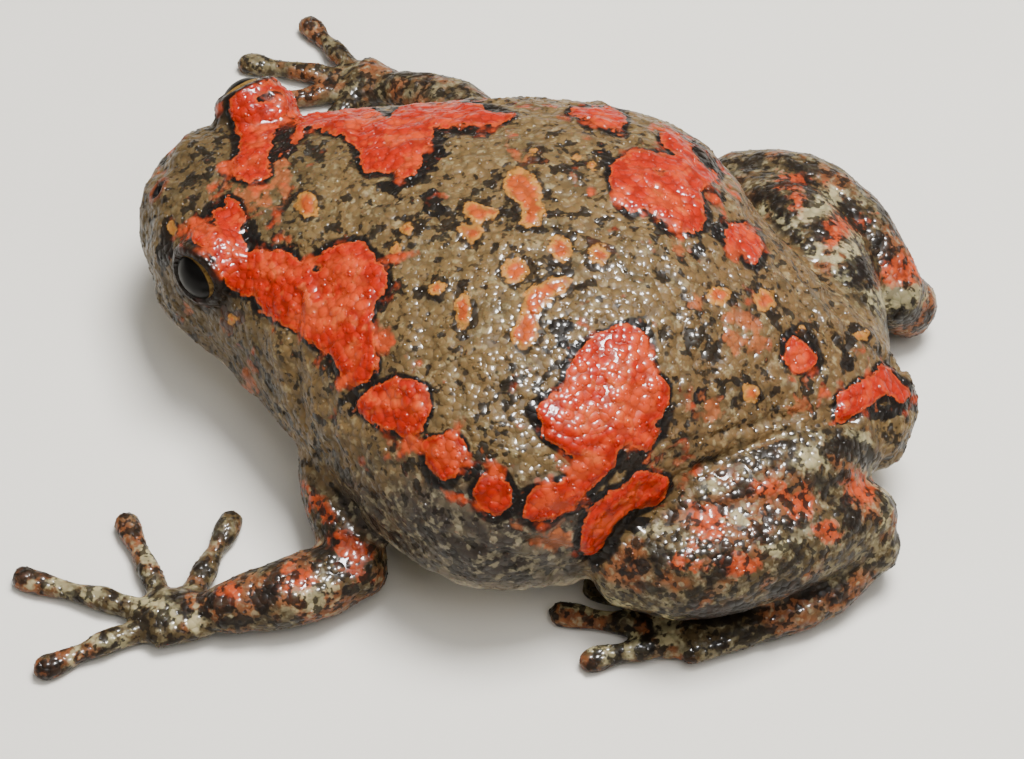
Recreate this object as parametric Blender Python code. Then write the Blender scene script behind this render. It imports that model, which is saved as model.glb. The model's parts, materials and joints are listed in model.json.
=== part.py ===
"""Painted frog, life size, as a still display model crouched on the floor.

The frog faces -X, its left side is -Y and +Z is up. The origin is on the floor, under the belly.
Each part of the body is a closed solid. It is cut back from its neighbours by a thin gap.
"""

import bmesh
import bpy
import numpy as np

MM = 0.001

# Driving dimensions, in millimetres
SNOUT_TO_VENT = 58.0
GAP = 0.3
FLOOR_DIP = 0.25
# Cutting blocks reach this far sideways and along, and to these heights
BLOCK_REACH = 2 * SNOUT_TO_VENT
BLOCK_HEIGHTS = (-20.0, 60.0)
EYE_RADIUS = 2.3
LID_THICKNESS = 0.45
NOSTRIL_RADIUS = 0.55

# How finely the forms are divided
BODY_RINGS = 34
BODY_SIDES = 36
LIMB_SIDES = 12
LIMB_RINGS = 9
DIGIT_SIDES = 8
DIGIT_RINGS = 6
LIP_SIDES = 6
MOUTH_POINTS = 26
EYE_SIDES = 18
EYE_RINGS = 10
NOSTRIL_SIDES = 12
NOSTRIL_RINGS = 8
# Rounded ends: how far out each ring lies, as a share of the end's length
BODY_CAP_RINGS = (0.95, 0.75, 0.4)
LIMB_CAP_RINGS = (0.92, 0.7, 0.38)
# The lids' own counts differ from the eye's, so that no facet of one lies along the other's
MOUND_SIDES = 23
RIM_SIDES = 27

# Body, from snout to vent, in millimetres: place along X, sideways shift, half width,
# height of the back, height of the belly, height of the widest point, squareness.
# The near (left) flank bulges more than the far one, so the middle is shifted to -Y.
BODY = [
    (-28.5, 2.1, 4.4, 13.0, 6.8, 9.6, 2.3),
    (-27.0, 1.8, 6.5, 14.5, 5.6, 9.2, 2.4),
    (-24.8, 1.3, 8.3, 15.4, 4.6, 8.8, 2.5),
    (-21.8, 0.8, 9.2, 16.2, 3.8, 8.4, 2.5),
    (-18.3, 0.4, 10.9, 17.3, 3.1, 8.4, 2.5),
    (-14.5, -0.3, 13.2, 18.4, 2.2, 8.4, 2.4),
    (-9.5, -1.4, 16.0, 20.0, 0.7, 8.8, 2.3),
    (-3.5, -2.6, 18.8, 21.6, -0.3, 9.2, 2.2),
    (3.0, -3.3, 20.0, 22.4, -0.4, 9.4, 2.2),
    (9.5, -2.8, 17.7, 21.9, -0.4, 9.8, 2.2),
    (15.5, -2.5, 12.0, 19.2, -0.2, 9.6, 2.2),
    (20.5, -2.0, 8.0, 16.2, 0.6, 9.0, 2.2),
    (24.5, -1.6, 5.8, 13.4, 2.2, 8.6, 2.2),
    (27.2, -1.6, 3.6, 10.8, 4.4, 7.6, 2.2),
]
SNOUT_CAP = 1.0
VENT_CAP = 1.8

# The head ends at a plane behind the jaw, leaning back at the top: its place at the floor and its lean
NECK_X = -14.6
NECK_LEAN = 0.14

# Mouth line in the side view, front to back: place along X and height
MOUTH_LINE = [(-34.0, 8.4), (-27.5, 7.6), (-23.0, 6.7), (-18.0, 6.0), (-15.0, 4.6), (-8.0, 3.2)]

LIP_RADIUS = 0.4

# Eyes: centre, then the way each looks out. The head is turned a little, so the sides differ.
EYES = {
    "left": ((-21.5, -6.5, 13.9), (-0.41, -0.88, 0.22)),
    "right": ((-23.6, 8.8, 14.1), (-0.60, 0.62, 0.50)),
}
NOSTRILS = {"left": (-27.6, -0.4, 13.7), "right": (-27.9, 4.4, 13.4)}

# Lids: how far inwards the centre of their round mound sits, then half the thickness of the
# rim, its distance out from the eye's centre and the radius of its ring
LID_INSET = 0.68
LID_RIM = 0.28
LID_OUT = 1.4
LID_OPENING = 2.3

# Limbs: stations of X, Y, Z, half width across, half height
LEFT_LEG = {
    "thigh": [
        (24.0, -4.8, 8.0, 3.4, 4.4),
        (21.6, -8.4, 8.2, 4.2, 5.0),
        (17.8, -12.2, 7.8, 4.3, 5.2),
        (14.2, -15.4, 7.0, 3.4, 4.2),
    ],
    "shank": [
        (12.7, -17.9, 6.4, 3.0, 3.6),
        (16.8, -17.0, 7.2, 3.9, 4.2),
        (22.2, -13.3, 6.8, 3.7, 3.9),
        (27.0, -8.9, 5.4, 2.5, 2.8),
    ],
    "tarsus": [
        (28.0, -9.6, 3.2, 1.9, 2.2),
        (25.6, -13.6, 2.2, 1.8, 1.8),
        (22.0, -16.4, 1.7, 1.9, 1.5),
    ],
    "palm": [(20.8, -17.2, 1.4, 1.8, 1.3), (17.0, -18.8, 1.1, 2.6, 1.1)],
    "roots": [(17.9, -17.4), (17.2, -17.8), (16.4, -18.4), (15.9, -19.0), (16.4, -19.8)],
    "tips": [(15.2, -13.8), (12.6, -14.4), (9.8, -16.7), (8.2, -19.5), (11.2, -22.6)],
}
RIGHT_LEG = {
    "thigh": [
        (22.8, 3.0, 8.0, 3.4, 4.2),
        (20.6, 7.2, 8.2, 4.2, 4.8),
        (17.2, 11.8, 7.8, 4.3, 5.2),
        (13.6, 14.8, 7.0, 3.4, 4.2),
    ],
    "shank": [
        (12.2, 17.4, 6.4, 3.0, 3.6),
        (16.6, 16.6, 7.2, 3.8, 4.2),
        (21.2, 14.3, 6.8, 3.5, 3.9),
        (24.8, 11.6, 5.4, 2.5, 2.8),
    ],
    "tarsus": [
        (26.2, 12.2, 3.2, 1.9, 2.2),
        (23.8, 15.6, 2.2, 1.8, 1.8),
        (20.2, 17.8, 1.7, 1.9, 1.5),
    ],
    "palm": [(19.0, 18.4, 1.4, 1.8, 1.3), (15.2, 19.4, 1.1, 2.6, 1.1)],
    "roots": [(16.1, 18.0), (15.4, 18.4), (14.6, 19.0), (14.1, 19.6), (14.6, 20.4)],
    "tips": [(13.4, 14.4), (10.8, 15.2), (8.0, 17.4), (6.6, 20.2), (9.4, 23.2)],
}

# The left arm reaches out to the side, the right one forward
LEFT_ARM = {
    "upper_arm": [
        (-10.2, -12.0, 7.0, 2.7, 3.0),
        (-9.2, -16.0, 5.4, 2.8, 2.8),
        (-6.9, -19.8, 3.6, 2.4, 2.4),
    ],
    "forearm": [
        (-6.4, -21.2, 3.0, 2.3, 2.3),
        (-9.8, -24.0, 2.8, 2.6, 2.3),
        (-14.2, -26.3, 2.2, 1.9, 1.7),
    ],
    "palm": [(-15.8, -27.0, 1.6, 1.8, 1.3), (-18.6, -27.8, 1.3, 2.5, 1.2)],
    "roots": [(-17.3, -26.8), (-18.5, -27.0), (-19.1, -27.6), (-19.0, -28.4)],
    "tips": [(-16.8, -18.4), (-23.9, -20.6), (-29.2, -27.1), (-25.0, -33.6)],
}
RIGHT_ARM = {
    "upper_arm": [
        (-10.2, 11.4, 7.0, 2.7, 3.0),
        (-9.4, 15.8, 5.4, 2.8, 2.8),
        (-8.2, 19.2, 3.6, 2.4, 2.4),
    ],
    "forearm": [
        (-8.8, 20.8, 3.0, 2.3, 2.3),
        (-12.4, 22.8, 2.8, 2.5, 2.3),
        (-16.8, 24.2, 2.2, 1.8, 1.7),
    ],
    "palm": [(-18.4, 24.7, 1.6, 1.7, 1.3), (-21.0, 25.2, 1.3, 2.5, 1.2)],
    "roots": [(-20.0, 24.2), (-21.1, 24.5), (-21.6, 25.1), (-21.4, 26.0)],
    "tips": [(-23.4, 18.4), (-28.4, 20.4), (-30.4, 24.9), (-26.9, 30.2)],
}
# Radius of a finger or toe at its root, at its thinnest and at its blunt tip
DIGIT_RADII = (1.0, 0.72, 0.98)

# Finish of each kind of part: name, linear colour and roughness
FINISHES = {
    "torso": ("back_skin", (0.138, 0.107, 0.054), 0.32),
    "head": ("head_skin", (0.107, 0.089, 0.054), 0.32),
    "lower_jaw": ("throat_skin", (0.076, 0.065, 0.051), 0.38),
    "eye": ("eye", (0.012, 0.009, 0.006), 0.06),
    "upper_arm": ("arm_skin", (0.205, 0.122, 0.065), 0.35),
    "forearm": ("arm_skin", (0.205, 0.122, 0.065), 0.35),
    "hand": ("digit_skin", (0.181, 0.156, 0.089), 0.35),
    "thigh": ("leg_skin", (0.188, 0.138, 0.089), 0.33),
    "shank": ("leg_skin", (0.188, 0.138, 0.089), 0.33),
    "tarsus": ("leg_skin", (0.188, 0.138, 0.089), 0.33),
    "foot": ("digit_skin", (0.181, 0.156, 0.089), 0.35),
}


def smooth(stations, count):
    """Catmull-Rom curve through the stations, read at count places spread evenly by station."""
    table = np.array(stations, float)
    padded = np.vstack([2 * table[0] - table[1], table, 2 * table[-1] - table[-2]])
    place = np.linspace(0, len(table) - 1, count)
    index = np.minimum(place.astype(int), len(table) - 2)
    t = (place - index)[:, None]
    p0, p1, p2, p3 = (padded[index + k] for k in range(4))
    return 0.5 * (
        2 * p1 + (p2 - p0) * t + (2 * p0 - 5 * p1 + 4 * p2 - p3) * t**2
        + (3 * p1 - p0 - 3 * p2 + p3) * t**3
    )


def mesh_object(name, rings, first, last):
    """Closed skin over rings of points, with a pole at each end. Lengths are in millimetres."""
    count, sides = rings.shape[:2]
    points = np.vstack([rings.reshape(-1, 3), first, last]) * MM
    faces = []
    for r in range(count - 1):
        for s in range(sides):
            a, b = r * sides + s, r * sides + (s + 1) % sides
            faces.append((a, b, b + sides, a + sides))
    start, end = count * sides, count * sides + 1
    for s in range(sides):
        after = (s + 1) % sides
        faces.append((start, after, s))
        faces.append((end, (count - 1) * sides + s, (count - 1) * sides + after))
    mesh = bpy.data.meshes.new(name)
    mesh.from_pydata(points.tolist(), [], faces)
    mesh.validate()
    obj = bpy.data.objects.new(name, mesh)
    bpy.context.scene.collection.objects.link(obj)
    return obj


def body_rings(grow=0.0):
    """Rings of the whole head and torso, with both ends rounded off, and the two pole points."""
    table = smooth(BODY, BODY_RINGS)
    turn = np.linspace(0, 2 * np.pi, BODY_SIDES, endpoint=False)
    rings = []
    ends = {0: (table[0], -SNOUT_CAP), 1: (table[-1], VENT_CAP)}
    rows = [(table[0], -SNOUT_CAP * c, (1 - c**2) ** 0.5) for c in BODY_CAP_RINGS]
    rows += [(row, 0.0, 1.0) for row in table]
    rows += [(table[-1], VENT_CAP * c, (1 - c**2) ** 0.5) for c in BODY_CAP_RINGS[::-1]]
    for (x, shift, half, back, belly, wide, square), along, shrink in rows:
        power = 2 / square
        across = np.sign(np.cos(turn)) * np.abs(np.cos(turn)) ** power
        above = np.sign(np.sin(turn)) * np.abs(np.sin(turn)) ** power
        rise = np.where(above > 0, back - wide, wide - belly)
        ring = np.stack([
            np.full(BODY_SIDES, x + along),
            shift + across * (half * shrink + grow),
            wide + above * (rise * shrink + grow),
        ], 1)
        rings.append(ring)
    poles = [
        (row[0] + along + np.sign(along) * grow, row[1], row[5])
        for row, along in ends.values()
    ]
    return np.array(rings), poles[0], poles[1]


def limb(name, stations, sides=LIMB_SIDES, rings=LIMB_RINGS, grow=0.0):
    """A limb: oval rings square to a smooth path, with rounded ends."""
    table = smooth(stations, rings)
    path, half = table[:, :3], table[:, 3:5] + grow
    along = np.gradient(path, axis=0)
    along /= np.linalg.norm(along, axis=1)[:, None]
    side = np.cross((0, 0, 1), along)
    side /= np.linalg.norm(side, axis=1)[:, None]
    up = np.cross(along, side)
    turn = np.linspace(0, 2 * np.pi, sides, endpoint=False)
    places = [(0, -c) for c in LIMB_CAP_RINGS] + [(k, 0) for k in range(rings)]
    places += [(rings - 1, c) for c in LIMB_CAP_RINGS[::-1]]
    out = []
    for k, c in places:
        shrink, reach = (1 - c**2) ** 0.5, c * min(half[k])
        centre = path[k] + along[k] * reach
        out.append(
            centre
            + np.outer(np.cos(turn), side[k]) * half[k][0] * shrink
            + np.outer(np.sin(turn), up[k]) * half[k][1] * shrink
        )
    first = path[0] - along[0] * min(half[0])
    last = path[-1] + along[-1] * min(half[-1])
    return mesh_object(name, np.array(out), first, last)


def round_rows(name, centre, axis, rows, segments):
    """A closed round form about an axis. Each row gives a distance along the axis and a radius."""
    axis = np.array(axis, float) / np.linalg.norm(axis)
    side = np.cross((0, 0, 1), axis)
    side /= np.linalg.norm(side)
    up = np.cross(axis, side)
    turn = np.linspace(0, 2 * np.pi, segments, endpoint=False)
    around = np.outer(np.cos(turn), side) + np.outer(np.sin(turn), up)
    centre = np.array(centre, float)
    rings = [centre + axis * along + around * radius for along, radius in rows[1:-1]]
    poles = [centre + axis * along for along, _ in (rows[0], rows[-1])]
    return mesh_object(name, np.array(rings), *poles)


def ball(name, centre, radius, axis, segments=EYE_SIDES, rings=EYE_RINGS):
    """A sphere with its poles on this axis, sizes in millimetres."""
    turn = np.linspace(0, np.pi, rings + 1)
    rows = list(zip(-radius * np.cos(turn), radius * np.sin(turn)))
    return round_rows(name, centre, axis, rows, segments)


def prism(name, outline):
    """A block as wide as the frog and more, with this outline of X and Z in the side view."""
    half = BLOCK_REACH / 2
    shape = bmesh.new()
    corners = [shape.verts.new((x * MM, -half * MM, z * MM)) for x, z in outline]
    face = shape.faces.new(corners)
    grown = bmesh.ops.extrude_face_region(shape, geom=[face])["geom"]
    moved = [v for v in grown if isinstance(v, bmesh.types.BMVert)]
    bmesh.ops.translate(shape, verts=moved, vec=(0, 2 * half * MM, 0))
    bmesh.ops.recalc_face_normals(shape, faces=shape.faces)
    mesh = bpy.data.meshes.new(name)
    shape.to_mesh(mesh)
    shape.free()
    obj = bpy.data.objects.new(name, mesh)
    bpy.context.scene.collection.objects.link(obj)
    return obj


def evaluated_mesh(obj):
    """Replaces the object's mesh by what its modifiers make of it."""
    bpy.context.view_layer.update()
    graph = bpy.context.evaluated_depsgraph_get()
    mesh = bpy.data.meshes.new_from_object(obj.evaluated_get(graph))
    obj.modifiers.clear()
    obj.data = mesh


def carve(obj, cutters, operation="DIFFERENCE"):
    """Cuts each cutter from obj, or keeps what they share with it, and removes the cutters."""
    for cutter in cutters:
        step = obj.modifiers.new("cut", "BOOLEAN")
        step.operation = operation
        step.solver = "EXACT"
        step.object = cutter
        evaluated_mesh(obj)
        bpy.data.objects.remove(cutter)


def fuse(name, pieces):
    """One closed body from overlapping closed pieces."""
    group = bpy.data.collections.new(name + "_pieces")
    bpy.context.scene.collection.children.link(group)
    base, *others = pieces
    for piece in others:
        bpy.context.scene.collection.objects.unlink(piece)
        group.objects.link(piece)
    step = base.modifiers.new("join", "BOOLEAN")
    step.operation = "UNION"
    step.solver = "EXACT"
    step.operand_type = "COLLECTION"
    step.collection = group
    evaluated_mesh(base)
    for piece in others:
        bpy.data.objects.remove(piece)
    bpy.data.collections.remove(group)
    base.name = name
    return base


def keep_largest(obj):
    """Drops every closed surface of the mesh but the largest."""
    shape = bmesh.new()
    shape.from_mesh(obj.data)
    bmesh.ops.remove_doubles(shape, verts=shape.verts, dist=0.002 * MM)
    bmesh.ops.dissolve_degenerate(shape, edges=shape.edges, dist=0.002 * MM)
    left, islands = set(shape.verts), []
    while left:
        island, front = set(), [left.pop()]
        while front:
            vert = front.pop()
            island.add(vert)
            for edge in vert.link_edges:
                other = edge.other_vert(vert)
                if other in left:
                    left.discard(other)
                    front.append(other)
        islands.append(island)
    islands.sort(key=len)
    for island in islands[:-1]:
        bmesh.ops.delete(shape, geom=list(island), context="VERTS")
    bmesh.ops.triangulate(shape, faces=shape.faces)
    shape.to_mesh(obj.data)
    shape.free()


def floor_block():
    """Everything below the floor."""
    far, deep = BLOCK_REACH, BLOCK_HEIGHTS[0]
    return prism("floor", [(-far, deep), (far, deep), (far, 0.0), (-far, 0.0)])


def body(name, grow=0.0):
    """The whole head and torso as one form."""
    return mesh_object(name, *body_rings(grow))


def neck_at(height, offset):
    """Place along X of the neck plane at this height."""
    return NECK_X + NECK_LEAN * height + offset


def behind_neck():
    """Everything behind the neck plane."""
    low, high = BLOCK_HEIGHTS
    near = [(neck_at(z, GAP / 2), z) for z in (low, high)]
    return prism("behind_neck", [near[0], (BLOCK_REACH, low), (BLOCK_REACH, high), near[1]])


def before_neck(side_of_mouth):
    """Everything before the neck plane, above the mouth line (+1) or below it (-1)."""
    line = smooth(MOUTH_LINE, MOUTH_POINTS)
    inside = [(x, z + side_of_mouth * GAP / 2) for x, z in line if x < neck_at(z, -GAP / 2) - GAP]
    last = inside[-1][1] - GAP / 2
    inside.append((neck_at(last, -GAP / 2), last))
    limit = BLOCK_HEIGHTS[1] if side_of_mouth > 0 else BLOCK_HEIGHTS[0]
    outline = inside + [(neck_at(limit, -GAP / 2), limit), (inside[0][0], limit)]
    return prism("before_neck", outline)


def eye_place(side):
    """Centre of an eye and the unit vector that it looks along."""
    centre, look = EYES[side]
    return np.array(centre), np.array(look) / np.linalg.norm(look)


def lids(side):
    """A round lid mound about the eye, with the thicker rim of its opening."""
    centre, look = eye_place(side)
    socket = EYE_RADIUS + GAP
    middle = centre - look * LID_INSET
    mound = ball("lid_mound", middle, socket + LID_THICKNESS, look, MOUND_SIDES)
    turn = np.linspace(0, 2 * np.pi, 9)[:-1]
    rim = np.stack([-np.cos(turn), np.sin(turn)], 1) * LID_RIM + (LID_OUT, LID_OPENING)
    rows = [(rim[0][0], 0.0), *rim[:5], (rim[4][0], 0.0)]
    return [mound, round_rows("lid_rim", centre, look, rows, RIM_SIDES)]


def lip(side_of_mouth):
    """A thin roll of skin along the mouth, above its line (+1) or below it (-1)."""
    rings, _, _ = body_rings()
    line = smooth(MOUTH_LINE, MOUTH_POINTS)
    places = []
    for ring in rings:
        x = ring[0, 0]
        height = np.interp(x, line[:, 0], line[:, 1]) + side_of_mouth * (LIP_RADIUS + GAP / 2)
        low, high = ring[:, 2].min(), ring[:, 2].max()
        if x > neck_at(height, 1.0) or not low < height < high:
            continue
        lower = ring[BODY_SIDES // 2 :]
        upper = ring[: BODY_SIDES // 2 + 1]
        half = lower if height < ring[0, 2] else upper
        order = half[np.argsort(half[:, 2])]
        middle = 0.5 * (ring[0, 1] + ring[BODY_SIDES // 2, 1])
        out = np.interp(height, order[:, 2], np.abs(order[:, 1] - middle))
        places.append((x, middle, height, out))
    places = places[::-1]
    rows = [(x, y - out, z, LIP_RADIUS, LIP_RADIUS) for x, y, z, out in places]
    rows += [(x, y + out, z, LIP_RADIUS, LIP_RADIUS) for x, y, z, out in reversed(places)]
    return limb("lip", rows, LIP_SIDES, len(rows))


def make_head():
    """Skull and upper jaw, with lip, lids, sockets and nostrils."""
    pieces = [body("head"), lip(1)]
    for side in ("left", "right"):
        pieces += lids(side)
    head = fuse("head", pieces)
    carve(head, [before_neck(1)], "INTERSECT")
    for side in ("left", "right"):
        centre, look = eye_place(side)
        socket = ball("socket", centre, EYE_RADIUS + GAP, look)
        nostril = ball(
            "nostril", NOSTRILS[side], NOSTRIL_RADIUS, look, NOSTRIL_SIDES, NOSTRIL_RINGS
        )
        carve(head, [socket, nostril])
    return head


def make_jaw():
    """Lower jaw and throat, with the lower lip."""
    jaw = fuse("lower_jaw", [body("lower_jaw"), lip(-1)])
    carve(jaw, [before_neck(-1)], "INTERSECT")
    return jaw


def make_eye(side):
    """An eyeball."""
    centre, look = eye_place(side)
    return ball("eye_" + side, centre, EYE_RADIUS, look)


def digit(name, root, tip, arch=0.5):
    """A finger or toe that rises a little at its middle and ends in a blunt, wider tip."""
    thick, thin, end = DIGIT_RADII
    rows = []
    for t, radius in ((0, thick), (0.35, 0.5 * (thick + thin)), (0.72, thin), (1, end)):
        x, y = np.array(root) + (np.array(tip) - np.array(root)) * t
        height = radius - FLOOR_DIP + arch * 4 * t * (1 - t)
        rows.append((x, y, height, radius, radius))
    return limb(name, rows, DIGIT_SIDES, DIGIT_RINGS)


def extremity(name, base, roots, tips):
    """A palm or sole with its digits, as one body."""
    pieces = [limb(name, base, rings=DIGIT_RINGS)]
    pieces += [digit("digit", root, tip) for root, tip in zip(roots, tips)]
    return fuse(name, pieces)


def make_limbs(side):
    """The nodes of one arm and one leg, each cut back from those before it."""
    arm, leg = (LEFT_ARM, LEFT_LEG) if side == "left" else (RIGHT_ARM, RIGHT_LEG)
    plan = [
        ("upper_arm", arm, ()),
        ("forearm", arm, ("upper_arm",)),
        ("hand", arm, ("forearm",)),
        ("thigh", leg, ()),
        ("shank", leg, ("thigh",)),
        ("tarsus", leg, ("thigh", "shank")),
        ("foot", leg, ("tarsus", "shank")),
    ]
    nodes = []
    for part, rows, before in plan:
        name = f"{part}_{side}"
        if part in rows:
            obj = limb(name, rows[part])
        else:
            obj = extremity(name, rows["palm"], rows["roots"], rows["tips"])
        cutters = [limb("cutter", rows[other], grow=GAP) for other in before]
        carve(obj, [body("cutter", GAP), *cutters, floor_block()])
        nodes.append(obj)
    return nodes


def paint(obj):
    """Gives a node the plain material of its kind of part."""
    kind = obj.name.removesuffix("_left").removesuffix("_right")
    name, colour, roughness = FINISHES[kind]
    material = bpy.data.materials.get(name) or bpy.data.materials.new(name)
    material.use_nodes = True
    shader = material.node_tree.nodes["Principled BSDF"]
    shader.inputs["Base Color"].default_value = (*colour, 1)
    shader.inputs["Roughness"].default_value = roughness
    obj.data.materials.clear()
    obj.data.materials.append(material)


def make_torso():
    """Trunk behind the neck, with the flat that it rests on."""
    torso = body("torso")
    carve(torso, [behind_neck()], "INTERSECT")
    carve(torso, [floor_block()])
    return torso


def main():
    """Builds the frog in a collection of its own."""
    for obj in list(bpy.data.objects):
        bpy.data.objects.remove(obj)
    parts = [make_torso(), make_head(), make_jaw()]
    for side in ("left", "right"):
        parts += [make_eye(side), *make_limbs(side)]
    frog = bpy.data.collections.new("painted_frog")
    bpy.context.scene.collection.children.link(frog)
    for obj in parts:
        keep_largest(obj)
        obj.data.shade_smooth()
        bpy.context.scene.collection.objects.unlink(obj)
        frog.objects.link(obj)
        paint(obj)


if __name__ == "__main__":
    main()
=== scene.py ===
"""Dresses the painted frog: one wet, granular skin over all its flesh, two eyes and a plain stage.

The frog faces -X, its left side is -Y and +Z is up. Lengths in the tables are in millimetres.
Markings are placed by where they lie on the picture of the frog, 1024 by 759 pixels.
"""

import json

import bpy
import numpy as np
from bpy.props import FloatProperty, PointerProperty, StringProperty
from mathutils import Matrix, Vector

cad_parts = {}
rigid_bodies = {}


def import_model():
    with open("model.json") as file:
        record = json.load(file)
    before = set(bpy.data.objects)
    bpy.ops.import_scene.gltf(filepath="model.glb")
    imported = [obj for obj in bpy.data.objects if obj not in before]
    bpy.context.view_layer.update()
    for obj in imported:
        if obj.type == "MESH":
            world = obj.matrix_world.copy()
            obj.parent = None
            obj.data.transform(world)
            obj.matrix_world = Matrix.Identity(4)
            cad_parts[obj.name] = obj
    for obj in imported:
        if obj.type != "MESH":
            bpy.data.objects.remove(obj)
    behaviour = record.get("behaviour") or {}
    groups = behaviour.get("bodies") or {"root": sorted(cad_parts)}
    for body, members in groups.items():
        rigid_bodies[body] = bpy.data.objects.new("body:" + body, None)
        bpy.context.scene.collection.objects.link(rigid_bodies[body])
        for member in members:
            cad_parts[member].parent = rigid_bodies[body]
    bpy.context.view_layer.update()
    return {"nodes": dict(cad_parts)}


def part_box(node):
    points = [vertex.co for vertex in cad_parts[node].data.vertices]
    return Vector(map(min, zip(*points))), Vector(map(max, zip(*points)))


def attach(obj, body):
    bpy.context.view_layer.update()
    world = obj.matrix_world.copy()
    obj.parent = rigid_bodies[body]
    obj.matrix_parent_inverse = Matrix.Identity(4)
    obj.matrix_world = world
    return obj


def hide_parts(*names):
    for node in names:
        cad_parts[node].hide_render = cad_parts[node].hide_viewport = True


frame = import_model()

bl_info = {
    "name": "Painted frog",
    "version": (1, 0, 0),
    "blender": (4, 5, 0),
    "location": "3D View > Sidebar > Painted frog",
    "description": "Builds the skin, tubercles, eyes and stage of a life-size painted frog",
    "category": "Add Mesh",
}

MM = 0.001

# Camera: it stands this far from its target, turned and raised by these degrees, and shows
# this many pixels for each millimetre at the target
PICTURE = (1024, 759)
CAMERA_TARGET = (0.6, -5.8, 8.0)
CAMERA_AZIMUTH = 16.0
CAMERA_ELEVATION = 52.0
CAMERA_DISTANCE = 220.0
PIXELS_PER_MM = 14.0
SENSOR_WIDTH = 36.0
# What is nearer or further than this isn't seen, in metres
CAMERA_CLIP = (0.01, 10.0)

# Body, from snout to vent: place along X, sideways shift, half width, height of the back,
# height of the belly, height of the widest point, squareness of the section
BODY = [
    (-28.5, 2.1, 4.4, 13.0, 6.8, 9.6, 2.3),
    (-27.0, 1.8, 6.5, 14.5, 5.6, 9.2, 2.4),
    (-24.8, 1.3, 8.3, 15.4, 4.6, 8.8, 2.5),
    (-21.8, 0.8, 9.2, 16.2, 3.8, 8.4, 2.5),
    (-18.3, 0.4, 10.9, 17.3, 3.1, 8.4, 2.5),
    (-14.5, -0.3, 13.2, 18.4, 2.2, 8.4, 2.4),
    (-9.5, -1.4, 16.0, 20.0, 0.7, 8.8, 2.3),
    (-3.5, -2.6, 18.8, 21.6, -0.3, 9.2, 2.2),
    (3.0, -3.3, 20.0, 22.4, -0.4, 9.4, 2.2),
    (9.5, -2.8, 17.7, 21.9, -0.4, 9.8, 2.2),
    (15.5, -2.5, 12.0, 19.2, -0.2, 9.6, 2.2),
    (20.5, -2.0, 8.0, 16.2, 0.6, 9.0, 2.2),
    (24.5, -1.6, 5.8, 13.4, 2.2, 8.6, 2.2),
    (27.2, -1.6, 3.6, 10.8, 4.4, 7.6, 2.2),
]
SNOUT_CAP = 1.0
VENT_CAP = 1.8

# Mouth line in the side view, front to back: place along X and height. It ends at this place,
# fades over this length before it, and its groove gets painted shade where it is stronger
# than this share.
MOUTH_LINE = [(-34.0, 8.4), (-27.5, 7.6), (-23.0, 6.7), (-18.0, 6.0), (-15.0, 4.6), (-8.0, 3.2)]
MOUTH_END = -14.2
MOUTH_FADE = 1.6
MOUTH_DARK = 0.3

# The way each eye looks out. Its place and size are those of its solid.
EYE_LOOK = {"left": (-0.41, -0.88, 0.22), "right": (-0.60, 0.62, 0.50)}
NOSTRILS = [(-27.55, -0.4, 13.75), (-27.9, 4.4, 13.4)]

# Lids: radius of the round mound under each eye, how far inwards its centre sits, and the half
# width and half height of the opening
LID_MOUND = 3.05
LID_INSET = 0.68
LID_OPENING = (2.0, 1.8)
# The middle of the opening is turned this way from the eye's look: the right lids open upwards
LID_TURN = {"left": (0.0, 0.0, 0.0), "right": (0.05, -0.19, 0.25)}
# The pupil looks a little forwards and down, so more of the iris shows behind and above it
PUPIL_TURN = (-0.10, 0.0, -0.12)

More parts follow.
